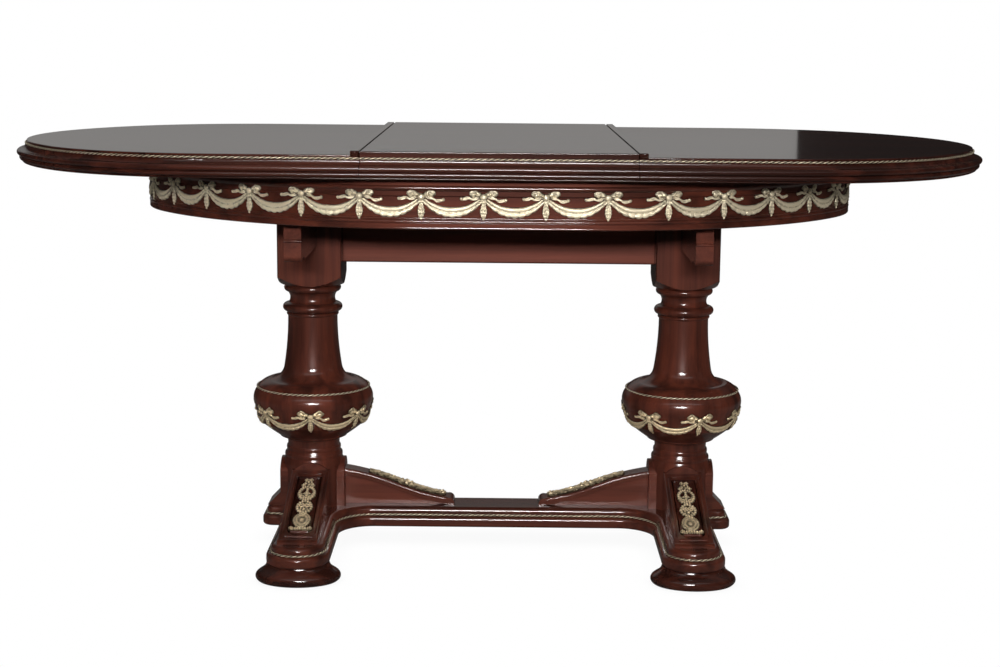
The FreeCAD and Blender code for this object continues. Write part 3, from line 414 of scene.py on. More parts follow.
def skin_arrays(rings, relief):
    """Vertices, outward triangles and relief of copies of a skin, given as copies, rows, ring, axes.

    Each end is closed by a pole at the middle of its ring. A copy whose signed volume, the sum over
    triangles of a corner dotted with the cross product of the other two, is negative is turned round.
    """
    copies, rows, around = rings.shape[:3]
    middles = rings.mean(axis=2)
    points = np.concatenate([middles[:, :1], rings.reshape(copies, -1, 3), middles[:, -1:]], axis=1)
    faces = skin_faces(rows, around)
    corners = (points - points.mean(axis=1, keepdims=True))[:, faces]
    volume = np.einsum("kfa,kfa->k", corners[:, :, 0], np.cross(corners[:, :, 1], corners[:, :, 2]))
    every = np.where(volume[:, None, None] < 0, faces[None, :, ::-1], faces[None])
    every = every + (np.arange(copies) * points.shape[1])[:, None, None]
    heights = np.concatenate([relief[:1].mean(axis=1), relief.reshape(-1), relief[-1:].mean(axis=1)])
    return points.reshape(-1, 3), every.reshape(-1, 3), np.tile(heights, copies)


def add_piece(name, body, material, skins, nodes):
    """Mesh object made of skins, which rides on a body and may stand for CAD nodes."""
    points, faces, heights = [], [], []
    start = 0
    for rings, relief in skins:
        part_points, part_faces, part_heights = skin_arrays(rings, relief)
        points.append(part_points)
        faces.append(part_faces + start)
        heights.append(part_heights)
        start += len(part_points)
    mesh = bpy.data.meshes.new(name)
    mesh.from_pydata(np.concatenate(points), [], np.concatenate(faces))
    # The relief darkens the gilt where it is low: worn gilding in the hollows, and painted shade there and
    # round every rim
    mesh.attributes.new("relief", "FLOAT", "POINT").data.foreach_set(
        "value", np.concatenate(heights).astype(np.float32))
    mesh.materials.append(material)
    mesh.shade_smooth()
    mesh.update()
    piece = bpy.data.objects.new(name, mesh)
    bpy.context.scene.collection.objects.link(piece)
    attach(piece, body)
    if nodes:
        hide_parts(*nodes)


def twisted_cord(track, height, sizes, closed):
    """Rings of a two-strand cord along a track at a height.

    At a distance s and an angle f round the cord the radius is the outer radius times a share that
    swings between the hollow's and 1 with the size of cos(f - turns made so far), so two strands wind.
    The relief is nought until half that swing, and then rises steeply, so the gilt goes dark in the
    grooves between the strands: partly worn gilding and partly painted shade in the creases of the twist.
    """
    sides = 8
    hollow = 0.35
    total = track[0][-1]
    count = int(total / sizes.step)
    distance = np.linspace(0, total, count, endpoint=not closed)
    place, out = along(track, distance)
    angle = np.linspace(0, FULL_TURN, sides, endpoint=False)[None]
    strand = np.abs(np.cos(angle - FULL_TURN * distance[:, None] / sizes.pitch))
    radius = sizes.radius * (hollow + (1 - hollow) * strand)
    rings = np.empty((count, sides, 3))
    rings[..., :2] = place[:, None] + out[:, None] * (radius * np.cos(angle))[..., None]
    rings[..., 2] = height + radius * np.sin(angle)
    return rings[None], np.clip(2.4 * (strand - 0.5), 0, 1)


# Mount motifs, drawn flat as rows of rings of (sideways, up, out), the back lying on the wood

def strip(centre, half_width, crown):
    """Flat-backed strip along a centre line.

    At row u and share v across, from -1 to 1, the point is the centre line plus v times the half width
    along the line's normal, raised by the crown at (u, v), which is nought at both edges.
    """
    tangent = np.gradient(centre, axis=0)
    tangent /= np.linalg.norm(tangent, axis=1, keepdims=True)
    normal = np.stack([-tangent[:, 1], tangent[:, 0]], axis=1)
    across = np.linspace(-1, 1, crown.shape[1])
    flat = centre[:, None] + normal[:, None] * (half_width[:, None] * across)[..., None]
    # On gilt, a relief of nought at both edges paints a dark shade line along them
    return np.concatenate([flat, crown[..., None]], axis=-1), crown / crown.max()


def boss(centre, outline, crown):
    """Flat-backed boss about a centre.

    At ring share r, from the middle to the rim, and angle f, the point is the centre plus r times the
    outline at f, raised by the crown at (r, f), which is nought at the rim.
    """
    reach = np.linspace(BOSS_START, 1, crown.shape[0])[:, None, None]
    flat = np.asarray(centre) + reach * outline[None]
    # On gilt, a relief of nought at the rim paints a dark shade line round the boss
    return np.concatenate([flat, crown[..., None]], axis=-1), crown / crown.max()


def turned(lean):
    """Matrix that turns rows of flat points anticlockwise by an angle."""
    return np.array([[math.cos(lean), math.sin(lean)], [-math.sin(lean), math.cos(lean)]])


def ellipse(half_wide, half_high, around):
    """Outline of an ellipse: its half width times the cosine and its half height times the sine."""
    angle = np.linspace(0, FULL_TURN, around, endpoint=False)
    return np.stack([half_wide * np.cos(angle), half_high * np.sin(angle)], axis=1)


def bead(centre, half_wide, half_high, height, rows, around):
    """Plain domed boss: its crown is the height times the root of one less the ring share squared."""
    reach = np.linspace(BOSS_START, 1, rows)[:, None]
    crown = np.repeat(height * np.sqrt(1 - reach ** 2), around, axis=1)
    return boss(centre, ellipse(half_wide, half_high, around), crown)


def closing(u, start, end):
    """Root that rises from nought to one over a start of u and falls to nought over an end of it."""
    return np.sqrt(np.clip(np.minimum(u / start, (1 - u) / end), 0, 1))


def mirrored(skin):
    """Copy of a motif's skin with its sideways axis turned over."""
    rings, relief = skin
    return rings * np.array([-1, 1, 1]), relief


def ribbon_loop(sizes):
    """One loop of a bow: a puffed, crumpled round that rises from the knot.

    The rim is an ellipse pinched towards the knot and set wandering by a sixth. The crown is a puff that
    falls steeply at the rim, times pleats that swing with the angle seen from the knot and creases that
    swing with the angle seen from the loop's middle.
    """
    rows, around = 13, 40
    half = sizes.loop_half
    knot_reach = 1.3 * half
    rise = 0.34 * half
    lean = math.radians(12)
    angle = np.linspace(0, FULL_TURN, around, endpoint=False)
    pinch = 0.55 + 0.45 * np.clip(0.5 + 0.75 * np.cos(angle), 0, 1)
    wander = 1 + 0.08 * np.sin(3 * angle + 0.6) + 0.09 * np.sin(5 * angle + 2)
    rim = half * wander[:, None] * np.stack([np.cos(angle), 0.95 * pinch * np.sin(angle)], axis=1)
    reach = np.linspace(BOSS_START, 1, rows)[:, None]
    fan = np.arctan2(reach * rim[:, 1], reach * rim[:, 0] + knot_reach)
    pleat = 0.5 + 0.5 * np.cos(7 * fan - 0.5)
    crease = 0.76 + 0.24 * np.sin(6 * reach + 2 * angle)
    crown = sizes.relief * np.sqrt(1 - reach ** 8) * (0.5 + 0.5 * pleat) * crease
    return boss((sizes.loop_reach, rise), rim @ turned(lean), crown)


def ribbon_tail(sizes, fall, wave):
    """One tail of a bow: a ribbon that leaves its loop, waves and curls up into a small ball.

    Its middle goes sideways with u, falls by a share of its reach and swings by a wave in the same
    shares. The half width swells where the ribbon lies flat and thins where it turns on edge.
    """
    waves = 1.15
    twists = 1.3
    ball_half = sizes.tail_half * 1.2
    u = np.linspace(0, 1, 30)
    start = sizes.loop_reach * 0.7
    side = start + (sizes.tail_reach - start) * (u + 0.06 * np.sin(FULL_TURN * u))
    up = sizes.tail_reach * (-0.02 - fall * u + wave * np.sin(FULL_TURN * waves * u) + 0.1 * u ** 5)
    flatness = 0.5 + 0.5 * np.cos(FULL_TURN * twists * u)
    taper = closing(u, 0.06, 0.05)
    half = sizes.tail_half * (0.7 + 0.5 * flatness) * taper + THINNEST
    v = np.linspace(-1, 1, 7)
    fold = 1 - 0.45 * np.exp(-(v / 0.4) ** 2) * flatness[:, None]
    crown = sizes.relief * 0.85 * (1 - v ** 4) ** 0.5 * fold * taper[:, None]
    ball = bead((side[-1], up[-1]), ball_half, ball_half, sizes.relief * 0.95, rows=6, around=14)
    return [strip(np.stack([side, up], axis=1), half, crown), ball]


def husk_drop(sizes):
    """Husk drop under the knot: a ribbed stem that opens into a leafy tassel and closes to a point.

    The half width is read from a table of shares along the drop, with teeth where the leaves end. The
    crown is a steep-sided round cut by flutes that run along the drop and by a step at each leaf.
    """
    leaves = 6
    places = [0, 0.1, 0.3, 0.45, 0.64, 0.78, 0.9, 1]
    girths = [0.55, 0.66, 0.6, 0.86, 1.0, 0.84, 0.55, 0.25]
    u = np.linspace(0, 1, 44)
    girth = np.interp(u, places, girths)
    tooth = 1 - 0.18 * np.mod(u * leaves, 1) * (u > 0.3)
    v = np.linspace(-1, 1, 13)
    flute = 0.84 + 0.16 * np.cos(FULL_TURN * 1.5 * v)
    step = 0.88 + 0.12 * np.cos(FULL_TURN * leaves * u)[:, None]
    crown = sizes.relief * np.sqrt(1 - v ** 6) * flute * step * (0.6 + 0.4 * girth[:, None])
    centre = np.stack([0 * u, -sizes.drop_length * (0.06 + 0.9 * u)], axis=1)
    return strip(centre, sizes.drop_half * girth * tooth, crown)


def bow_motif(sizes):
    """Loops, tails, husk drop, tip and knot of one bow, its left tail flatter than its right."""
    loop = ribbon_loop(sizes)
    right = ribbon_tail(sizes, fall=0.22, wave=0.02)
    left = [mirrored(skin) for skin in ribbon_tail(sizes, fall=0.12, wave=-0.05)]
    tip_half = sizes.drop_half * 0.36
    tip_level = tip_half - sizes.drop_length
    tip = bead((0, tip_level), tip_half, tip_half, sizes.relief * 0.8, rows=6, around=14)
    knot = bead((0, 0), sizes.drop_half * 0.9, sizes.drop_half * 0.82, sizes.relief * 1.15,
                rows=7, around=18)
    return [loop, mirrored(loop), husk_drop(sizes), tip, knot] + left + right


def swag_motif(sizes, half_span):
    """Garland hung between two knots: a smooth cord above a row of laid leaves.

    Its middle line falls from the knots by one less a power of u. Its half width follows a cosine from
    thin ends. Across it two swells stand, the upper plain and the lower cut into nine leaves, with a
    groove between them, and the lower edge swings out leaf by leaf.
    """
    leaf_turn = FULL_TURN * 9 / 4
    u = np.linspace(-1, 1, 100)
    bell = np.cos(u * math.pi / 2 * 0.9)
    taper = np.sqrt(np.clip((1 - np.abs(u)) / 0.03, 0, 1))
    half = sizes.swag_thick * (0.17 + 0.28 * bell) * taper + THINNEST
    start = sizes.drop_half * 0.6
    fall = start + (sizes.swag_fall - start) * (1 - np.abs(u) ** 2.2)
    v = np.linspace(-1, 1, 15)
    leaf = np.abs(np.cos(leaf_turn * u[:, None] + 0.6 * v[None] * np.sign(u)[:, None]))
    upper = np.exp(-((v - 0.42) / 0.46) ** 4)
    lower = np.exp(-((v + 0.56) / 0.42) ** 4) * (0.62 + 0.38 * leaf ** 0.6)
    crown = sizes.relief * (1 - v ** 8) ** 0.5 * (0.36 + 0.64 * np.maximum(upper, lower))
    centre = np.stack([half_span * u, -fall], axis=1)
    rings, relief = strip(centre, half, crown * (0.55 + 0.45 * bell * taper)[:, None])
    lobe = np.abs(np.cos(leaf_turn * u)) ** 0.6
    rings[..., 1] -= np.clip(-v, 0, 1) ** 1.5 * (lobe * bell * sizes.swag_thick * 0.13)[:, None]
    return rings, relief


def on_apron(track, skin, places, height):
    """Lay a motif's skin on the frieze at several distances along its track.

    The sideways distance is added to the place along the track, and the out distance goes along the
    track's normal there.
    """
    rings, relief = skin
    total = track[0][-1]
    distance = np.mod(np.asarray(places)[:, None, None] + rings[None, ..., 0], total)
    place, out = along(track, distance)
    laid = np.empty((len(places),) + rings.shape)
    laid[..., :2] = place + out * rings[None, ..., 2:]
    laid[..., 2] = height + rings[None, ..., 1]
    return laid, relief


def turned_radius(node, axis_x):
    """Radius of a turned node at each height, read from its own vertices."""
    mesh = frame["nodes"][node].data
    points = np.empty(len(mesh.vertices) * 3)
    mesh.vertices.foreach_get("co", points)
    points = points.reshape(-1, 3)
    level, where = np.unique(np.round(points[:, 2], 4), return_inverse=True)
    radius = np.zeros(len(level))
    np.maximum.at(radius, where, np.hypot(points[:, 0] - axis_x, points[:, 1]))
    return level, radius


def on_bulb(profile, axis_x, skin, angles, height):
    """Lay a motif's skin round a bulb at several angles.

    The sideways distance becomes an angle, by the radius at the knots, and the out distance is added
    to the bulb's own radius at each height.
    """
    rings, relief = skin
    level, radius = profile
    up = height + rings[..., 1]
    girth = np.interp(height, level, radius)
    angle = np.asarray(angles)[:, None, None] + rings[None, ..., 0] / girth
    reach = (np.interp(up, level, radius) + rings[..., 2])[None]
    laid = np.empty(angle.shape + (3,))
    laid[..., 0] = axis_x + reach * np.cos(angle)
    laid[..., 1] = reach * np.sin(angle)
    laid[..., 2] = np.broadcast_to(up[None], angle.shape)
    return laid, relief


# Mounts on knees and braces, drawn with up as the way back along the slope

def leaf_ring(half_long, half_wide, band, height, centre, leaves):
    """Oval ring of laid leaves.

    At an angle and a share v across the band, the point lies on an ellipse drawn in from the outer one by
    half the band times one less v. Band and crown swell with the cosine of the angle times the leaves.
    """
    angle = np.linspace(0, FULL_TURN, 97)[:, None]
    swell = 0.5 + 0.5 * np.cos(angle * leaves)
    v = np.linspace(-1, 1, 9)
    off = band / 2 * (v * (0.8 + 0.25 * swell) - 1)
    crown = height * (1 - v ** 2) ** 0.5 * (0.5 + 0.5 * swell)
    across = centre[0] + (half_wide + off) * np.sin(angle)
    up = centre[1] + (half_long + off) * np.cos(angle)
    return np.stack([across, up, crown], axis=-1), crown / height


def petal_boss(half_long, half_wide, height, centre, petals, depth):
    """Rosette: a dome whose crown is cut by grooves that run out from its middle.

    The crown is a steep dome times a wave from middle to rim, less grooves that swing with the cosine of
    the angle times the petals and deepen with the root of the ring share.
    """
    around, rows = 48, 11
    angle = np.linspace(0, FULL_TURN, around, endpoint=False)
    groove = 1 - depth * (0.5 - 0.5 * np.cos(angle * petals))
    outline = ellipse(half_wide, half_long, around) * (0.9 + 0.1 * groove)[:, None]
    reach = np.linspace(BOSS_START, 1, rows)[:, None]
    rim = 0.72 + 0.28 * np.cos(reach * FULL_TURN * 1.25)
    crown = height * np.sqrt(1 - reach ** 4) * rim * (1 - (1 - groove[None]) * np.sqrt(reach))
    return boss(centre, outline, crown)


def bar_strip(start, end, half, height, beads):
    """Straight strip between two points, its width and half round crown swelling bead by bead."""
    u = np.linspace(0, 1, 40)
    swell = (0.78 + 0.22 * np.cos(u * FULL_TURN * beads)) * closing(u, 0.05, 0.05)
    v = np.linspace(-1, 1, 9)
    centre = np.array(start) + u[:, None] * (np.array(end) - np.array(start))
    return strip(centre, half * swell + THINNEST, height * np.sqrt(1 - v ** 2) * swell[:, None])


def scroll(centre, radius, half, height, turns, side):
    """Spiral strip whose radius shrinks evenly with its angle, half round across."""
    u = np.linspace(0, 1, 60)
    angle = side * (u * turns * FULL_TURN) + math.pi / 2
    reach = radius * (1 - 0.78 * u)
    line = np.array(centre) + np.stack([reach * np.cos(angle), reach * np.sin(angle)], axis=1)
    taper = closing(u, 0.05, 0.05)
    v = np.linspace(-1, 1, 7)
    crown = height * np.sqrt(1 - v ** 2) * taper[:, None]
    return strip(line, half * (1 - 0.4 * u) * taper + THINNEST, crown)


# Parts of a knee's drop, from its upper end: motif, its sizes in metres, and whether a mirror image follows
KNEE_DROP = (
    # Crest and its side leaves
    (petal_boss, (0.0125, 0.0078, 0.0052, (0, -0.0165), 5, 0.55), False),
    (petal_boss, (0.0048, 0.0042, 0.0045, (0.0045, -0.008), 4, 0.4), True),
    (petal_boss, (0.0048, 0.0042, 0.0045, (0.0062, -0.0225), 4, 0.4), True),
    (petal_boss, (0.0048, 0.0042, 0.0045, (0.009, -0.027), 4, 0.4), True),
    # Wreath on a stem, with a crossbar, a rosette and scrolls
    (leaf_ring, (0.026, 0.0178, 0.0074, 0.0052, (0, -0.0555), 20), False),
    (bar_strip, ((0, -0.033), (0, -0.0785), 0.0032, 0.0046, 6), False),
    (bar_strip, ((-0.0125, -0.0555), (0.0125, -0.0555), 0.0022, 0.0034, 3), False),
    (petal_boss, (0.0062, 0.0052, 0.0056, (0, -0.0555), 6, 0.4), False),
    (scroll, ((-0.0068, -0.0672), 0.0062, 0.0018, 0.0038, 1.2, 1), True),
    # Scroll ring
    (leaf_ring, (0.0225, 0.0165, 0.0068, 0.005, (0, -0.102), 16), False),
    (scroll, ((-0.0062, -0.0965), 0.0062, 0.0019, 0.0036, 1.3, -1), True),
    (petal_boss, (0.0115, 0.0098, 0.0054, (0, -0.1105), 7, 0.55), False),
    # Medallion
    (petal_boss, (0.021, 0.0135, 0.0055, (0, -0.1465), 1, 0.0), False),
    (leaf_ring, (0.0245, 0.0168, 0.005, 0.0048, (0, -0.1465), 30), False),
    (petal_boss, (0.0062, 0.005, 0.0062, (0, -0.1265), 4, 0.4), False),
    # Bar with its end knobs
    (bar_strip, ((-0.0185, -0.1745), (0.0185, -0.1745), 0.0044, 0.0062, 8), False),
    (petal_boss, (0.0052, 0.0046, 0.0066, (-0.0172, -0.1745), 4, 0.2), True),
)


def knee_drop():
    """Mount of a knee's panel: crest, wreath on a stem, scroll ring, medallion, bar and fringe.

    The fringe is a row of drops under the bar, each higher the farther it lies from the middle.
    """
    fringe_reach = 0.0135
    fringe_level = -0.1825
    skins = []
    for motif, sizes, paired in KNEE_DROP:
        skins.append(motif(*sizes))
        if paired:
            skins.append(mirrored(skins[-1]))
    for place in np.linspace(-fringe_reach, fringe_reach, 7):
        skins.append(petal_boss(0.0046, 0.0021, 0.004, (place, fringe_level + 0.12 * abs(place)), 2, 0.2))
    return skins


def on_knee(mount, skin, side, row):
    """Lay a motif's skin on the sunk panel of a knee, the front row at -1 and the rear at 1.

    The slope's own axes are its way down and its normal. A point is the slope's start plus its
    distance along the way down plus its out distance along the normal. A power lowers the relief, which
    darkens the mount's hollows and rims: worn gilt and painted shade.
    """
    rings, relief = skin
    slope = math.atan2(mount.knee_top - mount.knee_foot, mount.knee_run)
    down = mount.mount_start - rings[..., 1]
    out = rings[..., 2]
    start = mount.knee_top - mount.panel_depth / math.cos(slope)
    reach = mount.plate_face + down * math.cos(slope) + out * math.sin(slope)
    height = start - down * math.sin(slope) + out * math.cos(slope)
    laid = np.stack([side * PEDESTAL_REACH - row * rings[..., 0], row * reach, height], axis=-1)
    return laid[None], relief ** mount.knee_wear_and_shade


def on_knees(mount, skins):
    """Lay a motif's skins on all four long knees."""
    return [on_knee(mount, skin, side, row) for side in (-1, 1) for row in (-1, 1) for skin in skins]


def dark_panel(mount, sizes):
    """Thin skin on the floor of a knee's panel, round at its lower end.

    The half width stays even until one half width before the end, and then follows a circle.
    """
    down = np.linspace(sizes.panel_start, sizes.panel_end, 60)
    past = np.clip(down - sizes.panel_end + sizes.panel_half, 0, sizes.panel_half)
    half = np.sqrt(sizes.panel_half ** 2 - past ** 2) + THINNEST
    v = np.linspace(-1, 1, 9)
    crown = np.repeat(sizes.panel_skin * (1 - v[None] ** 8), len(down), axis=0)
    return strip(np.stack([0 * down, mount.mount_start - down], axis=1), half, crown)


def lifted(skin, rise):
    """Copy of a motif's skin moved out from the wood."""
    rings, relief = skin
    return rings + np.array([0, 0, rise]), relief


def knee_rolls(mount, sizes):
    """Side beads along a knee's panel, a roll under its mount and a longer roll at its toe.

    The roll under the mount stands on the panel's floor, and the rest stand on the knee's own surface.
    """
    def across(place, reach, height):
        up = mount.mount_start - place
        return bar_strip((-reach, up), (reach, up), sizes.roll_half, height, 0)

    top = mount.mount_start - sizes.panel_start
    foot = mount.mount_start - sizes.panel_end
    reach = sizes.bead_reach
    edge = bar_strip((reach, top), (reach, foot), sizes.bead_half, sizes.bead_half, 0)
    toe = across(sizes.toe_place, sizes.toe_reach, sizes.roll_half)
    roll = across(sizes.roll_place, sizes.roll_reach, sizes.roll_half * 2)
    return [lifted(skin, mount.panel_depth) for skin in (edge, mirrored(edge), toe)] + [roll]


def brace_line(mount, count):
    """Points of a brace's top from the column outwards: two equal arcs that bend opposite ways."""
    fall = math.atan2(mount.brace_drop, mount.brace_run)
    bend = fall - mount.brace_slope
    half_chord = math.hypot(mount.brace_run, mount.brace_drop) / 2
    radius = half_chord / 2 / math.sin(bend)
    turn = np.linspace(-bend, bend, count)
    flat = radius * np.sin(turn) + half_chord / 2
    rise = radius * (np.cos(turn) - math.cos(bend))
    chord = np.concatenate([flat, flat[1:] + half_chord])
    off = np.concatenate([rise, -rise[1:]])
    return np.stack([mount.plate_face + chord * math.cos(fall) + off * math.sin(fall),
                     mount.brace_top - chord * math.sin(fall) + off * math.cos(fall)], axis=1)


def brace_leaf(mount):
    """Leaf strip on a brace: lobed edges, a raised midrib, flowers along its middle and a curled tip.

    The half width is the strip's half width times an arch and a saw tooth of lobes. The crown is a half
    round times side veins that slant towards the tip, one to each lobe, plus the midrib's bell.
    """
    lobes = 8
    crown_height = 0.007
    flower_gap = 0.028
    tip_setback = 0.008
    u = np.linspace(0, 1, 120)
    arch = 0.5 + 0.5 * np.sin(math.pi * np.clip(u * 0.94 + 0.03, 0, 1)) ** 0.7
    taper = closing(u, 0.02, 0.02)
    lobe = 0.68 + 0.32 * np.sin(math.pi * np.mod(u * lobes, 1)) ** 0.6
    v = np.linspace(-1, 1, 15)
    vein = 0.5 + 0.5 * np.cos(FULL_TURN * (lobes * u[:, None] + 1.1 * np.abs(v)[None]))
    midrib = np.exp(-(v / 0.16) ** 2)
    crown = crown_height * (1 - v ** 2) ** 0.45 * (0.4 + 0.45 * vein + 0.3 * midrib) * taper[:, None]
    centre = np.stack([mount.strap_start + (mount.strap_end - mount.strap_start) * u, 0 * u], axis=1)
    rings, relief = strip(centre, mount.strap_half * arch * lobe * taper + THINNEST, crown)
    middle = (mount.strap_start + mount.strap_end) / 2
    skins = [(rings, relief ** 0.9), petal_boss(0.0135, 0.0165, 0.0105, (middle, 0), 7, 0.45)]
    for place in (-flower_gap, flower_gap):
        skins.append(petal_boss(0.0085, 0.0105, 0.0082, (middle + place, 0), 5, 0.4))
    skins.append(petal_boss(0.0095, 0.0085, 0.0095, (mount.strap_end - tip_setback, 0), 5, 0.3))
    return skins


def on_brace(mount, line, skin, side):
    """Lay a motif's skin on a brace's cap; sideways runs along the brace and up runs across it.

    A point is the brace's line at its distance plus its out distance along the line's normal.
    """
    rings, relief = skin
    tangent = np.gradient(line, axis=0)
    tangent /= np.linalg.norm(tangent, axis=1, keepdims=True)
    walked = line[:, 0] - mount.plate_face
    place, across, out = np.moveaxis(rings, -1, 0)
    flat, level, ahead, rise = (np.interp(place, walked, values) for values in (*line.T, *tangent.T))
    laid = np.stack([side * (PEDESTAL_REACH - flat + rise * out), across, level + ahead * out], axis=-1)
    return laid[None], relief


# Finishes

def add_node(tree, kind, settings=None, inputs=None, links=None):
    """Add a node with its settings, input values and incoming links."""
    node = tree.nodes.new(kind)
    for name, value in (settings or {}).items():
        setattr(node, name, value)
    for name, value in (inputs or {}).items():
        node.inputs[name].default_value = value
    for name, source in (links or {}).items():
        tree.links.new(source, node.inputs[name])
    return node


def finish(name, build, **values):
    """Material of a name, whose shader a function builds when it is first asked for."""
    material = bpy.data.materials.get(name)
    if material is None:
        material = bpy.data.materials.new(name)
        material.use_nodes = True
        tree = material.node_tree
        tree.nodes.clear()
        shader = build(tree, **values)
        add_node(tree, "ShaderNodeOutputMaterial", links={"Surface": shader.outputs[0]})
    return material


def set_ramp(ramp, stops):
    """Colour stops of a ramp, as places and linear colours."""
    elements = ramp.color_ramp.elements
    while len(elements) < len(stops):
        elements.new(0.5)
    for element, (place, value) in zip(elements, stops):
        element.position = place
        element.color = (*value, 1)


def grain_pattern(tree, grain_axis, width, run, inputs):
    """Noise over the object's own coordinates, so wide across the grain and so long along it."""
    scale = [1 / width] * 3
    scale[grain_axis] = 1 / run
    where = add_node(tree, "ShaderNodeTexCoord")
    drawn_out = add_node(tree, "ShaderNodeMapping", inputs={"Scale": scale},
                         links={"Vector": where.outputs["Object"]})
    noise = add_node(tree, "ShaderNodeTexNoise", inputs={"Scale": 1.0, **inputs},
                     links={"Vector": drawn_out.outputs["Vector"]})
    return noise.outputs["Fac"]


def lacquered_mahogany(tree, grain_axis, sheen, shift, coat):
    """Mahogany under a rubbed, deep gloss lacquer.

    The eye sees a dark red-brown body with broad ribbon figure 24 mm wide and drawn-out pores, drawn
    3 mm wide because the real 0.3 mm ones are too fine to show, under a clear coat that mirrors. The
    sheen is what the figure gives back square on, the shift moves the ramp towards the dark bands, and the
    coat is the share of the lacquer that still mirrors, which is rougher the smaller that share is.
    """
    colours = bpy.context.scene.table_colour
    figure = grain_pattern(tree, grain_axis, width=0.024, run=0.7,
                           inputs={"Detail": 5.0, "Distortion": 0.6})
    pores = grain_pattern(tree, grain_axis, width=0.003, run=0.07,
                          inputs={"Detail": 3.0, "Roughness": 0.65})
    blend = add_node(tree, "ShaderNodeMath", {"operation": "MULTIPLY_ADD"}, {1: 0.34},
                     {0: pores, 2: figure})
    ramp = add_node(tree, "ShaderNodeValToRGB", links={"Fac": blend.outputs["Value"]})
    set_ramp(ramp, [(0.48 + shift, colours.wood_dark), (0.67 + shift, colours.wood_mid),
                    (0.86 + shift, colours.wood_light)])
    bump = add_node(tree, "ShaderNodeBump", inputs={"Strength": 0.05, "Distance": 0.0004},
                    links={"Height": pores})
    return add_node(tree, "ShaderNodeBsdfPrincipled",
                    inputs={"Roughness": 0.55, "Specular IOR Level": sheen,
                            "Specular Tint": (*colours.wood_sheen, 1), "Coat Weight": coat,
                            "Coat Roughness": 0.11 + 0.15 * (1 - coat), "Coat IOR": 1.52},
                    links={"Base Color": ramp.outputs["Color"], "Normal": bump.outputs["Normal"]})


def cast_gilt_brass(tree, raised_colour, metallic):
    """Cast brass, fire gilt and long handled.

    The eye sees pale warm gold on everything raised, a soft spread highlight from the matt casting, and
    brown where the relief is low: in the hollows partly worn gilding and gathered wax, partly painted
    shade, and a painted shade line round the rim of every motif. The casting's grain is drawn 2 mm wide
    and the tarnish 4 mm, because finer ones wouldn't show.
    """
    colours = bpy.context.scene.table_colour
    height = add_node(tree, "ShaderNodeAttribute", {"attribute_name": "relief"})
    where = add_node(tree, "ShaderNodeTexCoord")
    grain = add_node(tree, "ShaderNodeTexNoise", inputs={"Scale": 1 / 0.002, "Detail": 2.0},
                     links={"Vector": where.outputs["Object"]})
    tarnish = add_node(tree, "ShaderNodeTexNoise", inputs={"Scale": 1 / 0.004, "Detail": 3.0},
                       links={"Vector": where.outputs["Object"]})
    raised = add_node(tree, "ShaderNodeMath", {"operation": "MULTIPLY"}, {1: 0.5},
                      {0: height.outputs["Fac"]})
    wear_and_shade_fac = add_node(tree, "ShaderNodeMath", {"operation": "MULTIPLY_ADD"}, {1: 0.45},
                    {0: tarnish.outputs["Fac"], 2: raised.outputs["Value"]})
    ramp = add_node(tree, "ShaderNodeValToRGB", links={"Fac": wear_and_shade_fac.outputs["Value"]})
    set_ramp(ramp, [(0.33, colours.gilt_worn_and_shade), (0.61, getattr(colours, raised_colour))])
    rough = add_node(tree, "ShaderNodeMapRange",
                     inputs={"From Min": 0.3, "From Max": 0.7, "To Min": 0.3, "To Max": 0.46},
                     links={"Value": tarnish.outputs["Fac"]})
    bump = add_node(tree, "ShaderNodeBump", inputs={"Strength": 0.9, "Distance": 0.0012},
                    links={"Height": grain.outputs["Fac"]})
    return add_node(tree, "ShaderNodeBsdfPrincipled", inputs={"Metallic": metallic},
                    links={"Base Color": ramp.outputs["Color"], "Roughness": rough.outputs["Result"],
                           "Normal": bump.outputs["Normal"]})


def waxed_beech(tree, grain_axis):
    """Planed beech with a rub of wax: pale, with short darker flecks 2 mm wide along the grain."""
    colours = bpy.context.scene.table_colour
    fleck = grain_pattern(tree, grain_axis, width=0.002, run=0.02, inputs={"Detail": 3.0})
    ramp = add_node(tree, "ShaderNodeValToRGB", links={"Fac": fleck})
    set_ramp(ramp, [(0.35, colours.beech_dark), (0.6, colours.beech)])
    bump = add_node(tree, "ShaderNodeBump", inputs={"Strength": 0.1, "Distance": 0.0005},
                    links={"Height": fleck})
    return add_node(tree, "ShaderNodeBsdfPrincipled", inputs={"Roughness": 0.55},
                    links={"Base Color": ramp.outputs["Color"], "Normal": bump.outputs["Normal"]})


def zinc_plated_steel(tree):
    """Bright zinc plating on steel: a cool grey sheen that clouds over in patches about 6 mm wide."""
    colours = bpy.context.scene.table_colour
    where = add_node(tree, "ShaderNodeTexCoord")
    cloud = add_node(tree, "ShaderNodeTexNoise", inputs={"Scale": 1 / 0.006, "Detail": 3.0},
                     links={"Vector": where.outputs["Object"]})
    rough = add_node(tree, "ShaderNodeMapRange", inputs={"To Min": 0.22, "To Max": 0.45},
                     links={"Value": cloud.outputs["Fac"]})
    return add_node(tree, "ShaderNodeBsdfPrincipled",
                    inputs={"Base Color": (*colours.zinc, 1), "Metallic": 1.0},
                    links={"Roughness": rough.outputs["Result"]})


LENGTHWISE, CROSSWISE, UPRIGHT = range(3)
AXIS_WORDS = ("lengthwise", "crosswise", "upright")
MAHOGANY_KINDS = {
    "lacquered": {"sheen": 0.34, "shift": 0, "coat": 1},
    "turned": {"sheen": 0.34, "shift": 0, "coat": 0.7},
    "dark": {"sheen": 0.06, "shift": 0.12, "coat": 1},
    "moulded": {"sheen": 0.06, "shift": 0.12, "coat": 0.72},
    "satin": {"sheen": 0.75, "shift": 0, "coat": 0.3},
}
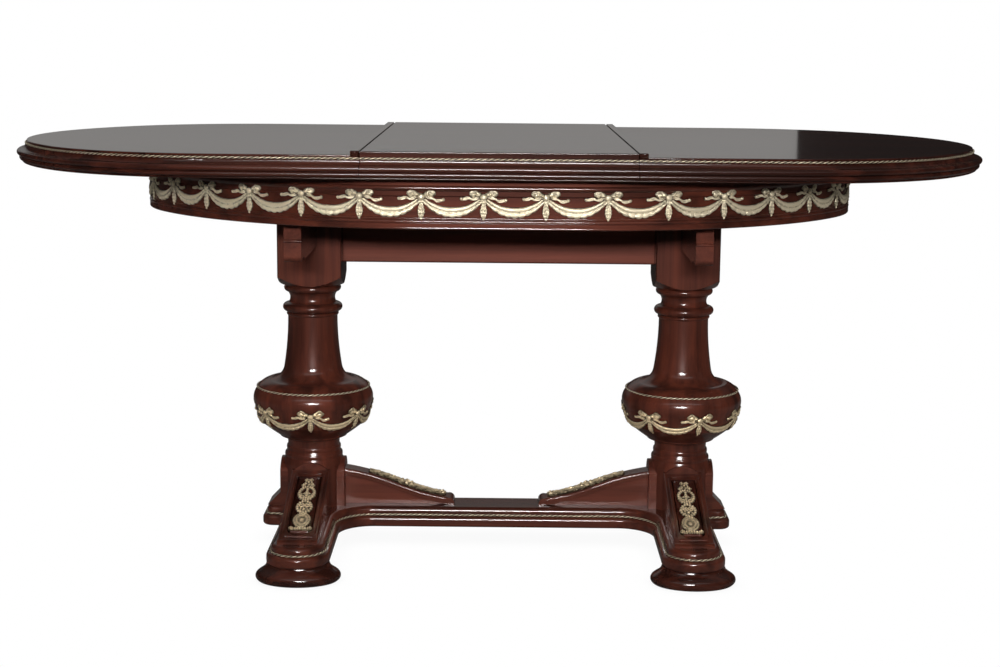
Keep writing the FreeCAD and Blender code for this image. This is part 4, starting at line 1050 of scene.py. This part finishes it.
# Cast gilt is the apron's and the cords', and aged gilt is that of bulbs, knees and braces
GILT_KINDS = {
    "cast": {"raised_colour": "gilt", "metallic": 0.52},
    "aged": {"raised_colour": "gilt_aged", "metallic": 0.62},
}


def mahogany(kind, grain_axis):
    """Mahogany of a kind with its grain along an axis."""
    return finish(kind + " mahogany " + AXIS_WORDS[grain_axis], lacquered_mahogany,
                  grain_axis=grain_axis, **MAHOGANY_KINDS[kind])


def beech(grain_axis):
    """Beech with its grain along an axis."""
    return finish("waxed beech " + AXIS_WORDS[grain_axis], waxed_beech, grain_axis=grain_axis)


def gilt(kind):
    """Gilt brass of a kind."""
    return finish(kind + " gilt brass", cast_gilt_brass, **GILT_KINDS[kind])


def grain_axis_of(node):
    """Axis that a wooden node's grain follows."""
    if "column" in node:
        return UPRIGHT
    across = ("bearer", "front_knee", "rear_knee", "apron_end", "cross_rail", "plinth")
    return CROSSWISE if any(word in node for word in across) else LENGTHWISE


def mahogany_kind(node):
    """Kind of mahogany that a wooden node shows."""
    if any(word in node for word in ("_panel", "_strip", "foot_pads")):
        return "dark"
    if "_moulding" in node:
        return "moulded"
    if "_column" in node:
        return "turned"
    return "satin" if "brace_web" in node or node == "top_rail" else "lacquered"


def finish_of(node, slot):
    """Material of a node of the frame."""
    if slot == "mahogany":
        return mahogany(mahogany_kind(node), grain_axis_of(node))
    if slot == "frame_timber":
        return beech(grain_axis_of(node))
    if slot == "gilt_brass":
        return gilt("cast")
    return finish("zinc plated steel", zinc_plated_steel)


# Operators

class TABLE_OT_finish_frame(bpy.types.Operator):
    """Give every node of the frame its finish, with the grain along the piece"""
    bl_idname = "table.finish_frame"
    bl_label = "Finish frame"

    def execute(self, context):
        slots = {part["node"]: part["material_slot"] for part in frame["record"]["subparts"]}
        for node, thing in frame["nodes"].items():
            thing.data.materials.clear()
            thing.data.materials.append(finish_of(node, slots[node]))
        return {"FINISHED"}


def eased_bar(low, high, ease, lean, joint):
    """Rings of a bar along Y with rounded upper arrises, which leans back from the joint.

    The section runs from its foot up the right side, round two quarter circles and down the left side.
    On the joint's side, 1 for the right and -1 for the left, all but the foot is set back by the lean.
    """
    angle = np.linspace(0, FULL_TURN / 4, 5)
    right = np.stack([high.x - ease + ease * np.cos(angle), high.z - ease + ease * np.sin(angle)], axis=1)
    left = np.stack([low.x + ease - ease * np.sin(angle), high.z - ease + ease * np.cos(angle)], axis=1)
    right[:, 0] -= lean * (joint > 0)
    left[:, 0] += lean * (joint < 0)
    section = np.concatenate([[[low.x, low.z], [high.x, low.z]], right, left])
    reach = np.linspace(low.y, high.y, 60)
    rings = np.empty((len(reach), len(section), 3))
    rings[..., 0] = section[:, 0]
    rings[..., 1] = reach[:, None]
    rings[..., 2] = section[:, 1]
    return rings[None], np.ones(rings.shape[:2])


class TABLE_OT_joint_strips(bpy.types.Operator):
    """Lean the raised strips back from the leaf, so that the joints open upwards and show dark"""
    bl_idname = "table.joint_strips"
    bl_label = "Joint strips"

    def execute(self, context):
        outline = context.scene.table_outline
        for side, joint in (("left", 1), ("right", -1)):
            node = side + "_joint_strip"
            bar = eased_bar(*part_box(node), outline.strip_ease, outline.strip_lean, joint)
            wood = mahogany("dark", CROSSWISE)
            add_piece(side + "_eased_strip", side + "_top", wood, [bar], [node])
        return {"FINISHED"}


class TABLE_OT_top_cords(bpy.types.Operator):
    """Lay a twisted brass cord under the edge of each end top and leaf"""
    bl_idname = "table.top_cords"
    bl_label = "Top cords"

    def execute(self, context):
        sizes = context.scene.table_cord
        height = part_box("right_top_bead")[0].z + sizes.radius
        leaf_edge = [("line", (-HALF_LEAF, -SLAB_HALF_WIDTH), (HALF_LEAF, -SLAB_HALF_WIDTH))]
        for runs, bodies in ((end_top_runs(context.scene.table_outline), ("right_top", "left_top")),
                             (leaf_edge, ("front_leaf", "rear_leaf"))):
            walked, points, normals = offset_track(*walk(runs, sizes.step), sizes.radius)
            for body, way in zip(bodies, (1, -1)):
                cord = twisted_cord((walked, way * points, way * normals), height, sizes, False)
                add_piece(body + "_cord", body, gilt("cast"), [cord], [body + "_bead"])
        return {"FINISHED"}


class TABLE_OT_base_cords(bpy.types.Operator):
    """Lay twisted brass cords round the plinth's ledge and the bulbs' shoulders"""
    bl_idname = "table.base_cords"
    bl_label = "Base cords"

    def execute(self, context):
        sizes = context.scene.table_cord
        outline = context.scene.table_outline
        track = plinth_track(outline, sizes.radius - outline.ledge_width, sizes.step)
        cord = twisted_cord(track, outline.ledge_height + sizes.radius, sizes, True)
        add_piece("plinth_cord", BASE, gilt("cast"), [cord], ["plinth_beads"])
        low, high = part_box("shoulder_beads")
        skins = []
        for axis_x in PEDESTALS.values():
            circle = [("arc", (axis_x, 0), high.y - sizes.radius, 0, 360)]
            track = offset_track(*walk(circle, sizes.step), 0)
            skins.append(twisted_cord(track, (low.z + high.z) / 2, sizes, True))
        add_piece("shoulder_cords", BASE, gilt("cast"), skins, ["shoulder_beads"])
        return {"FINISHED"}


def turned_ring(axis_x, girth, height, half_height, reach):
    """Rings of a round moulding about an upright axis: an ellipse carried once round it."""
    rows, sides = 145, 16
    turn = np.linspace(0, FULL_TURN, rows)[:, None] + FULL_TURN / 4
    angle = np.linspace(0, FULL_TURN, sides, endpoint=False)[None]
    radius = girth + reach * np.cos(angle)
    level = np.broadcast_to(height + half_height * np.sin(angle), (rows, sides))
    rings = np.stack([axis_x + radius * np.cos(turn), radius * np.sin(turn), level], axis=-1)
    return rings[None], np.ones((rows, sides))


class TABLE_OT_drum_rings(bpy.types.Operator):
    """Turn two beads and a fine line round the drum under each bulb"""
    bl_idname = "table.drum_rings"
    bl_label = "Drum rings"

    def execute(self, context):
        sizes = context.scene.table_ring
        rows = ((sizes.upper_height, sizes.bead_half), (sizes.lower_height, sizes.bead_half),
                (sizes.line_height, sizes.line_half))
        for name, axis_x in PEDESTALS.items():
            profile = turned_radius(name + "_column", axis_x)
            skins = []
            for height, half in rows:
                girth = np.interp(height, *profile)
                skins.append(turned_ring(axis_x, girth, height, half, half * sizes.reach_share))
            add_piece(name + "_drum_rings", BASE, mahogany("turned", UPRIGHT), skins, [])
        return {"FINISHED"}


def frieze_track(scene):
    """Track on the apron's frieze and the spacing of its bows."""
    outline = scene.table_outline
    track = offset_track(*walk(apron_runs(outline), scene.table_cord.step), -outline.frieze_setback)
    return track, track[0][-1] / scene.table_garland.count


class TABLE_OT_apron_bows(bpy.types.Operator):
    """Set bows with ribbon tails and husk drops round the frieze"""
    bl_idname = "table.apron_bows"
    bl_label = "Apron bows"

    def execute(self, context):
        sizes = context.scene.table_garland
        track, spacing = frieze_track(context.scene)
        places = spacing * (np.arange(sizes.count) + sizes.phase)
        skins = [on_apron(track, skin, places, sizes.knot_height) for skin in bow_motif(sizes)]
        add_piece("apron_bow_mounts", BASE, gilt("cast"), skins, ["apron_bows"])
        return {"FINISHED"}


class TABLE_OT_apron_swags(bpy.types.Operator):
    """Hang leaf swags between the bows of the frieze"""
    bl_idname = "table.apron_swags"
    bl_label = "Apron swags"

    def execute(self, context):
        sizes = context.scene.table_garland
        track, spacing = frieze_track(context.scene)
        places = spacing * (np.arange(sizes.count) + sizes.phase + 0.5)
        swag = swag_motif(sizes, spacing / 2 - sizes.drop_half / 2)
        skins = [on_apron(track, swag, places, sizes.knot_height)]
        add_piece("apron_swag_mounts", BASE, gilt("cast"), skins, ["apron_swags"])
        return {"FINISHED"}


class TABLE_OT_bulb_garlands(bpy.types.Operator):
    """Hang a garland of bows and swags round each bulb"""
    bl_idname = "table.bulb_garlands"
    bl_label = "Bulb garlands"

    def execute(self, context):
        sizes = context.scene.table_bulb_garland
        step = FULL_TURN / sizes.count
        for name, axis_x in PEDESTALS.items():
            turn = getattr(sizes, name + "_turn")
            profile = turned_radius(name + "_column", axis_x)
            girth = np.interp(sizes.knot_height, *profile)
            angles = turn - FULL_TURN / 4 + step * np.arange(sizes.count)
            swag = swag_motif(sizes, girth * step / 2 - sizes.drop_half / 2)
            skins = [on_bulb(profile, axis_x, skin, angles, sizes.knot_height) for skin in bow_motif(sizes)]
            skins.append(on_bulb(profile, axis_x, swag, angles + step / 2, sizes.knot_height))
            node = name + "_bulb_garland"
            add_piece(name + "_bulb_mounts", BASE, gilt("aged"), skins, [node])
        return {"FINISHED"}


class TABLE_OT_knee_mounts(bpy.types.Operator):
    """Set a pierced drop in the sunk panel of each long knee"""
    bl_idname = "table.knee_mounts"
    bl_label = "Knee mounts"

    def execute(self, context):
        skins = on_knees(context.scene.table_mount, knee_drop())
        add_piece("knee_drop_mounts", BASE, gilt("aged"), skins, ["knee_mounts"])
        return {"FINISHED"}


class TABLE_OT_knee_carving(bpy.types.Operator):
    """Darken the sunk panel of each long knee and carve beads and rolls round it"""
    bl_idname = "table.knee_carving"
    bl_label = "Knee carving"

    def execute(self, context):
        mount = context.scene.table_mount
        sizes = context.scene.table_carving
        for name, kind, motif in (("knee_dark_panels", "dark", [dark_panel(mount, sizes)]),
                                  ("knee_rolls", "lacquered", knee_rolls(mount, sizes))):
            add_piece(name, BASE, mahogany(kind, CROSSWISE), on_knees(mount, motif), [])
        return {"FINISHED"}


class TABLE_OT_brace_mounts(bpy.types.Operator):
    """Lay a leaf along the top of each brace"""
    bl_idname = "table.brace_mounts"
    bl_label = "Brace mounts"

    def execute(self, context):
        mount = context.scene.table_mount
        line = brace_line(mount, count=40)
        skins = [on_brace(mount, line, skin, side) for side in (-1, 1) for skin in brace_leaf(mount)]
        add_piece("brace_leaf_mounts", BASE, gilt("aged"), skins, ["brace_mounts"])
        return {"FINISHED"}


# Stage places and half sizes in metres
FLOOR_HALF = 14
SCREEN_PLACE = (-0.6, 2.5, 1.25)
SCREEN_HALF_WIDTH = 1.575
SCREEN_HALF_HEIGHT = 0.8
# Linear colour of the screen's light, a little warm
SCREEN_LIGHT = (1, 0.985, 0.96, 1)
# Softboxes: name, place, target, width and height, setting of the power, whether gloss mirrors it
SOFTBOXES = (
    ("key_softbox", (-0.05, -3.4, 1.24), (0, 0, 0.35), (1.3, 0.2), "key_power", True),
    ("front_softbox", (0, -3.0, 2.7), (0, 0, 0.4), (5.5, 0.4), "front_power", True),
    ("left_softbox", (-3.1, -0.8, 1.2), (0, 0, 0.4), (1.0, 1.0), "side_power", False),
    ("right_softbox", (3.1, -0.8, 1.2), (0, 0, 0.4), (1.0, 1.0), "side_power", False),
    ("rear_softbox", (1.1, 2.35, 1.6), (0, 0, 0.4), (1.0, 0.5), "rear_power", False),
    ("top_softbox", (0, 0.2, 2.7), (0, 0, 0.78), (1.8, 1.0), "top_power", False),
)


def stage_plane(name, centre, half_x, half_y, material):
    """Flat, level stage piece about a centre."""
    mesh = bpy.data.meshes.new(name)
    corners = [(-half_x, -half_y, 0), (half_x, -half_y, 0), (half_x, half_y, 0), (-half_x, half_y, 0)]
    mesh.from_pydata(corners, [], [(0, 1, 2, 3)])
    mesh.materials.append(material)
    plane = bpy.data.objects.new(name, mesh)
    plane.location = centre
    bpy.context.scene.collection.objects.link(plane)
    return plane


def soft_light(name, place, target, size, power, mirrored_too):
    """Oval softbox at a place, aimed at a target, that gloss may or may not mirror."""
    data = bpy.data.lights.new(name, "AREA")
    data.shape = "ELLIPSE"
    data.size, data.size_y = size
    data.energy = power
    light = bpy.data.objects.new(name, data)
    light.location = place
    light.visible_glossy = mirrored_too
    light.rotation_euler = (Vector(target) - Vector(place)).to_track_quat("-Z", "Y").to_euler()
    bpy.context.scene.collection.objects.link(light)


def white_paper(tree):
    """White paper floor: burnt out to the eye but for a faint shade close under the feet."""
    colours = bpy.context.scene.table_colour
    near = add_node(tree, "ShaderNodeAmbientOcclusion", {"samples": 8}, {"Distance": 0.05})
    shade = add_node(tree, "ShaderNodeMapRange",
                     inputs={"From Min": 0.25, "From Max": 0.95, "To Min": 0.93, "To Max": 1.0},
                     links={"Value": near.outputs["AO"]})
    glow = add_node(tree, "ShaderNodeEmission", inputs={"Color": (1, 1, 1, 1)},
                    links={"Strength": shade.outputs["Result"]})
    dim = add_node(tree, "ShaderNodeBsdfDiffuse", inputs={"Color": (*colours.floor, 1)})
    ray = add_node(tree, "ShaderNodeLightPath")
    return add_node(tree, "ShaderNodeMixShader",
                    links={0: ray.outputs["Is Camera Ray"], 1: dim.outputs[0], 2: glow.outputs[0]})


def lit_screen(tree):
    """Lit backdrop screen that the top mirrors, fading towards its foot."""
    where = add_node(tree, "ShaderNodeTexCoord")
    up = add_node(tree, "ShaderNodeSeparateXYZ", links={"Vector": where.outputs["Object"]})
    fade = add_node(tree, "ShaderNodeMapRange",
                    inputs={"From Min": -0.58, "From Max": -0.34, "To Min": 0.04, "To Max": 0.31},
                    links={"Value": up.outputs["Y"]})
    return add_node(tree, "ShaderNodeEmission", inputs={"Color": SCREEN_LIGHT},
                    links={"Strength": fade.outputs["Result"]})


def studio_world():
    """World that is white to the eye, and to the table dark at the floor and brighter overhead."""
    world = bpy.data.worlds.new("studio")
    world.use_nodes = True
    tree = world.node_tree
    tree.nodes.clear()
    ray = add_node(tree, "ShaderNodeLightPath")
    where = add_node(tree, "ShaderNodeTexCoord")
    way = add_node(tree, "ShaderNodeSeparateXYZ", links={"Vector": where.outputs["Generated"]})
    glow = add_node(tree, "ShaderNodeMapRange",
                    inputs={"From Min": 0.36, "From Max": 0.75, "To Min": 0.012, "To Max": 0.13},
                    links={"Value": way.outputs["Z"]})
    around = add_node(tree, "ShaderNodeBackground", inputs={"Color": (1, 1, 1, 1)},
                      links={"Strength": glow.outputs["Result"]})
    seen = add_node(tree, "ShaderNodeBackground", inputs={"Color": (1, 1, 1, 1), "Strength": 1.0})
    both = add_node(tree, "ShaderNodeMixShader",
                    links={0: ray.outputs["Is Camera Ray"], 1: around.outputs[0], 2: seen.outputs[0]})
    add_node(tree, "ShaderNodeOutputWorld", links={"Surface": both.outputs[0]})
    return world


def stage_camera(settings):
    """Camera at its place, level along the table but for its pitch and roll."""
    camera = bpy.data.objects.new("camera", bpy.data.cameras.new("camera"))
    camera.data.lens = settings.lens
    camera.data.sensor_width = settings.sensor
    aim = Euler((math.pi / 2 - settings.pitch, 0, 0)).to_matrix() @ Matrix.Rotation(settings.roll, 3, "Z")
    camera.rotation_euler = aim.to_euler()
    camera.location = settings.place
    bpy.context.scene.collection.objects.link(camera)
    return camera


class TABLE_OT_stage(bpy.types.Operator):
    """Set the floor, the studio light and the camera"""
    bl_idname = "table.stage"
    bl_label = "Stage"

    def execute(self, context):
        scene = context.scene
        settings = scene.table_stage
        stage_plane("studio_floor", (0, 0, 0), FLOOR_HALF, FLOOR_HALF,
                    finish("white studio paper", white_paper))
        screen = stage_plane("backdrop_screen", SCREEN_PLACE, SCREEN_HALF_WIDTH, SCREEN_HALF_HEIGHT,
                             finish("lit backdrop screen", lit_screen))
        screen.rotation_euler = (math.pi / 2, 0, 0)
        screen.visible_camera = False
        scene.world = studio_world()
        for name, place, target, size, power, mirrored_too in SOFTBOXES:
            soft_light(name, place, target, size, getattr(settings, power), mirrored_too)
        bpy.data.lights["key_softbox"].spread = settings.key_spread
        scene.camera = stage_camera(settings)
        scene.view_settings.view_transform = "Standard"
        return {"FINISHED"}


OPERATORS = (
    TABLE_OT_finish_frame, TABLE_OT_joint_strips, TABLE_OT_top_cords, TABLE_OT_base_cords,
    TABLE_OT_drum_rings, TABLE_OT_apron_bows, TABLE_OT_apron_swags, TABLE_OT_bulb_garlands,
    TABLE_OT_knee_mounts, TABLE_OT_knee_carving, TABLE_OT_brace_mounts, TABLE_OT_stage,
)


class TABLE_PT_sidebar(bpy.types.Panel):
    """Steps and sizes of the table"""
    bl_idname = "TABLE_PT_sidebar"
    bl_label = "Dining table"
    bl_space_type = "VIEW_3D"
    bl_region_type = "UI"
    bl_category = "Table"

    def draw(self, context):
        layout = self.layout
        for operator in OPERATORS:
            layout.operator(operator.bl_idname)
        for name, group in GROUPS.items():
            box = layout.box()
            box.label(text=group.__doc__)
            for field in group.__annotations__:
                box.prop(getattr(context.scene, name), field)


def register():
    """Register the groups, operators and panel, and hang the groups on the scene."""
    for kind in (*GROUPS.values(), *OPERATORS, TABLE_PT_sidebar):
        bpy.utils.register_class(kind)
    for name, group in GROUPS.items():
        setattr(bpy.types.Scene, name, bpy.props.PointerProperty(type=group))


def unregister():
    """Take the groups, operators and panel away again."""
    for name in GROUPS:
        delattr(bpy.types.Scene, name)
    for kind in reversed((*GROUPS.values(), *OPERATORS, TABLE_PT_sidebar)):
        bpy.utils.unregister_class(kind)


def main():
    """Register the sizes, then build every piece in order."""
    register()
    bpy.ops.table.finish_frame()
    bpy.ops.table.joint_strips()
    bpy.ops.table.top_cords()
    bpy.ops.table.base_cords()
    bpy.ops.table.drum_rings()
    bpy.ops.table.apron_bows()
    bpy.ops.table.apron_swags()
    bpy.ops.table.bulb_garlands()
    bpy.ops.table.knee_mounts()
    bpy.ops.table.knee_carving()
    bpy.ops.table.brace_mounts()
    bpy.ops.table.stage()


if __name__ == "__main__":
    main()
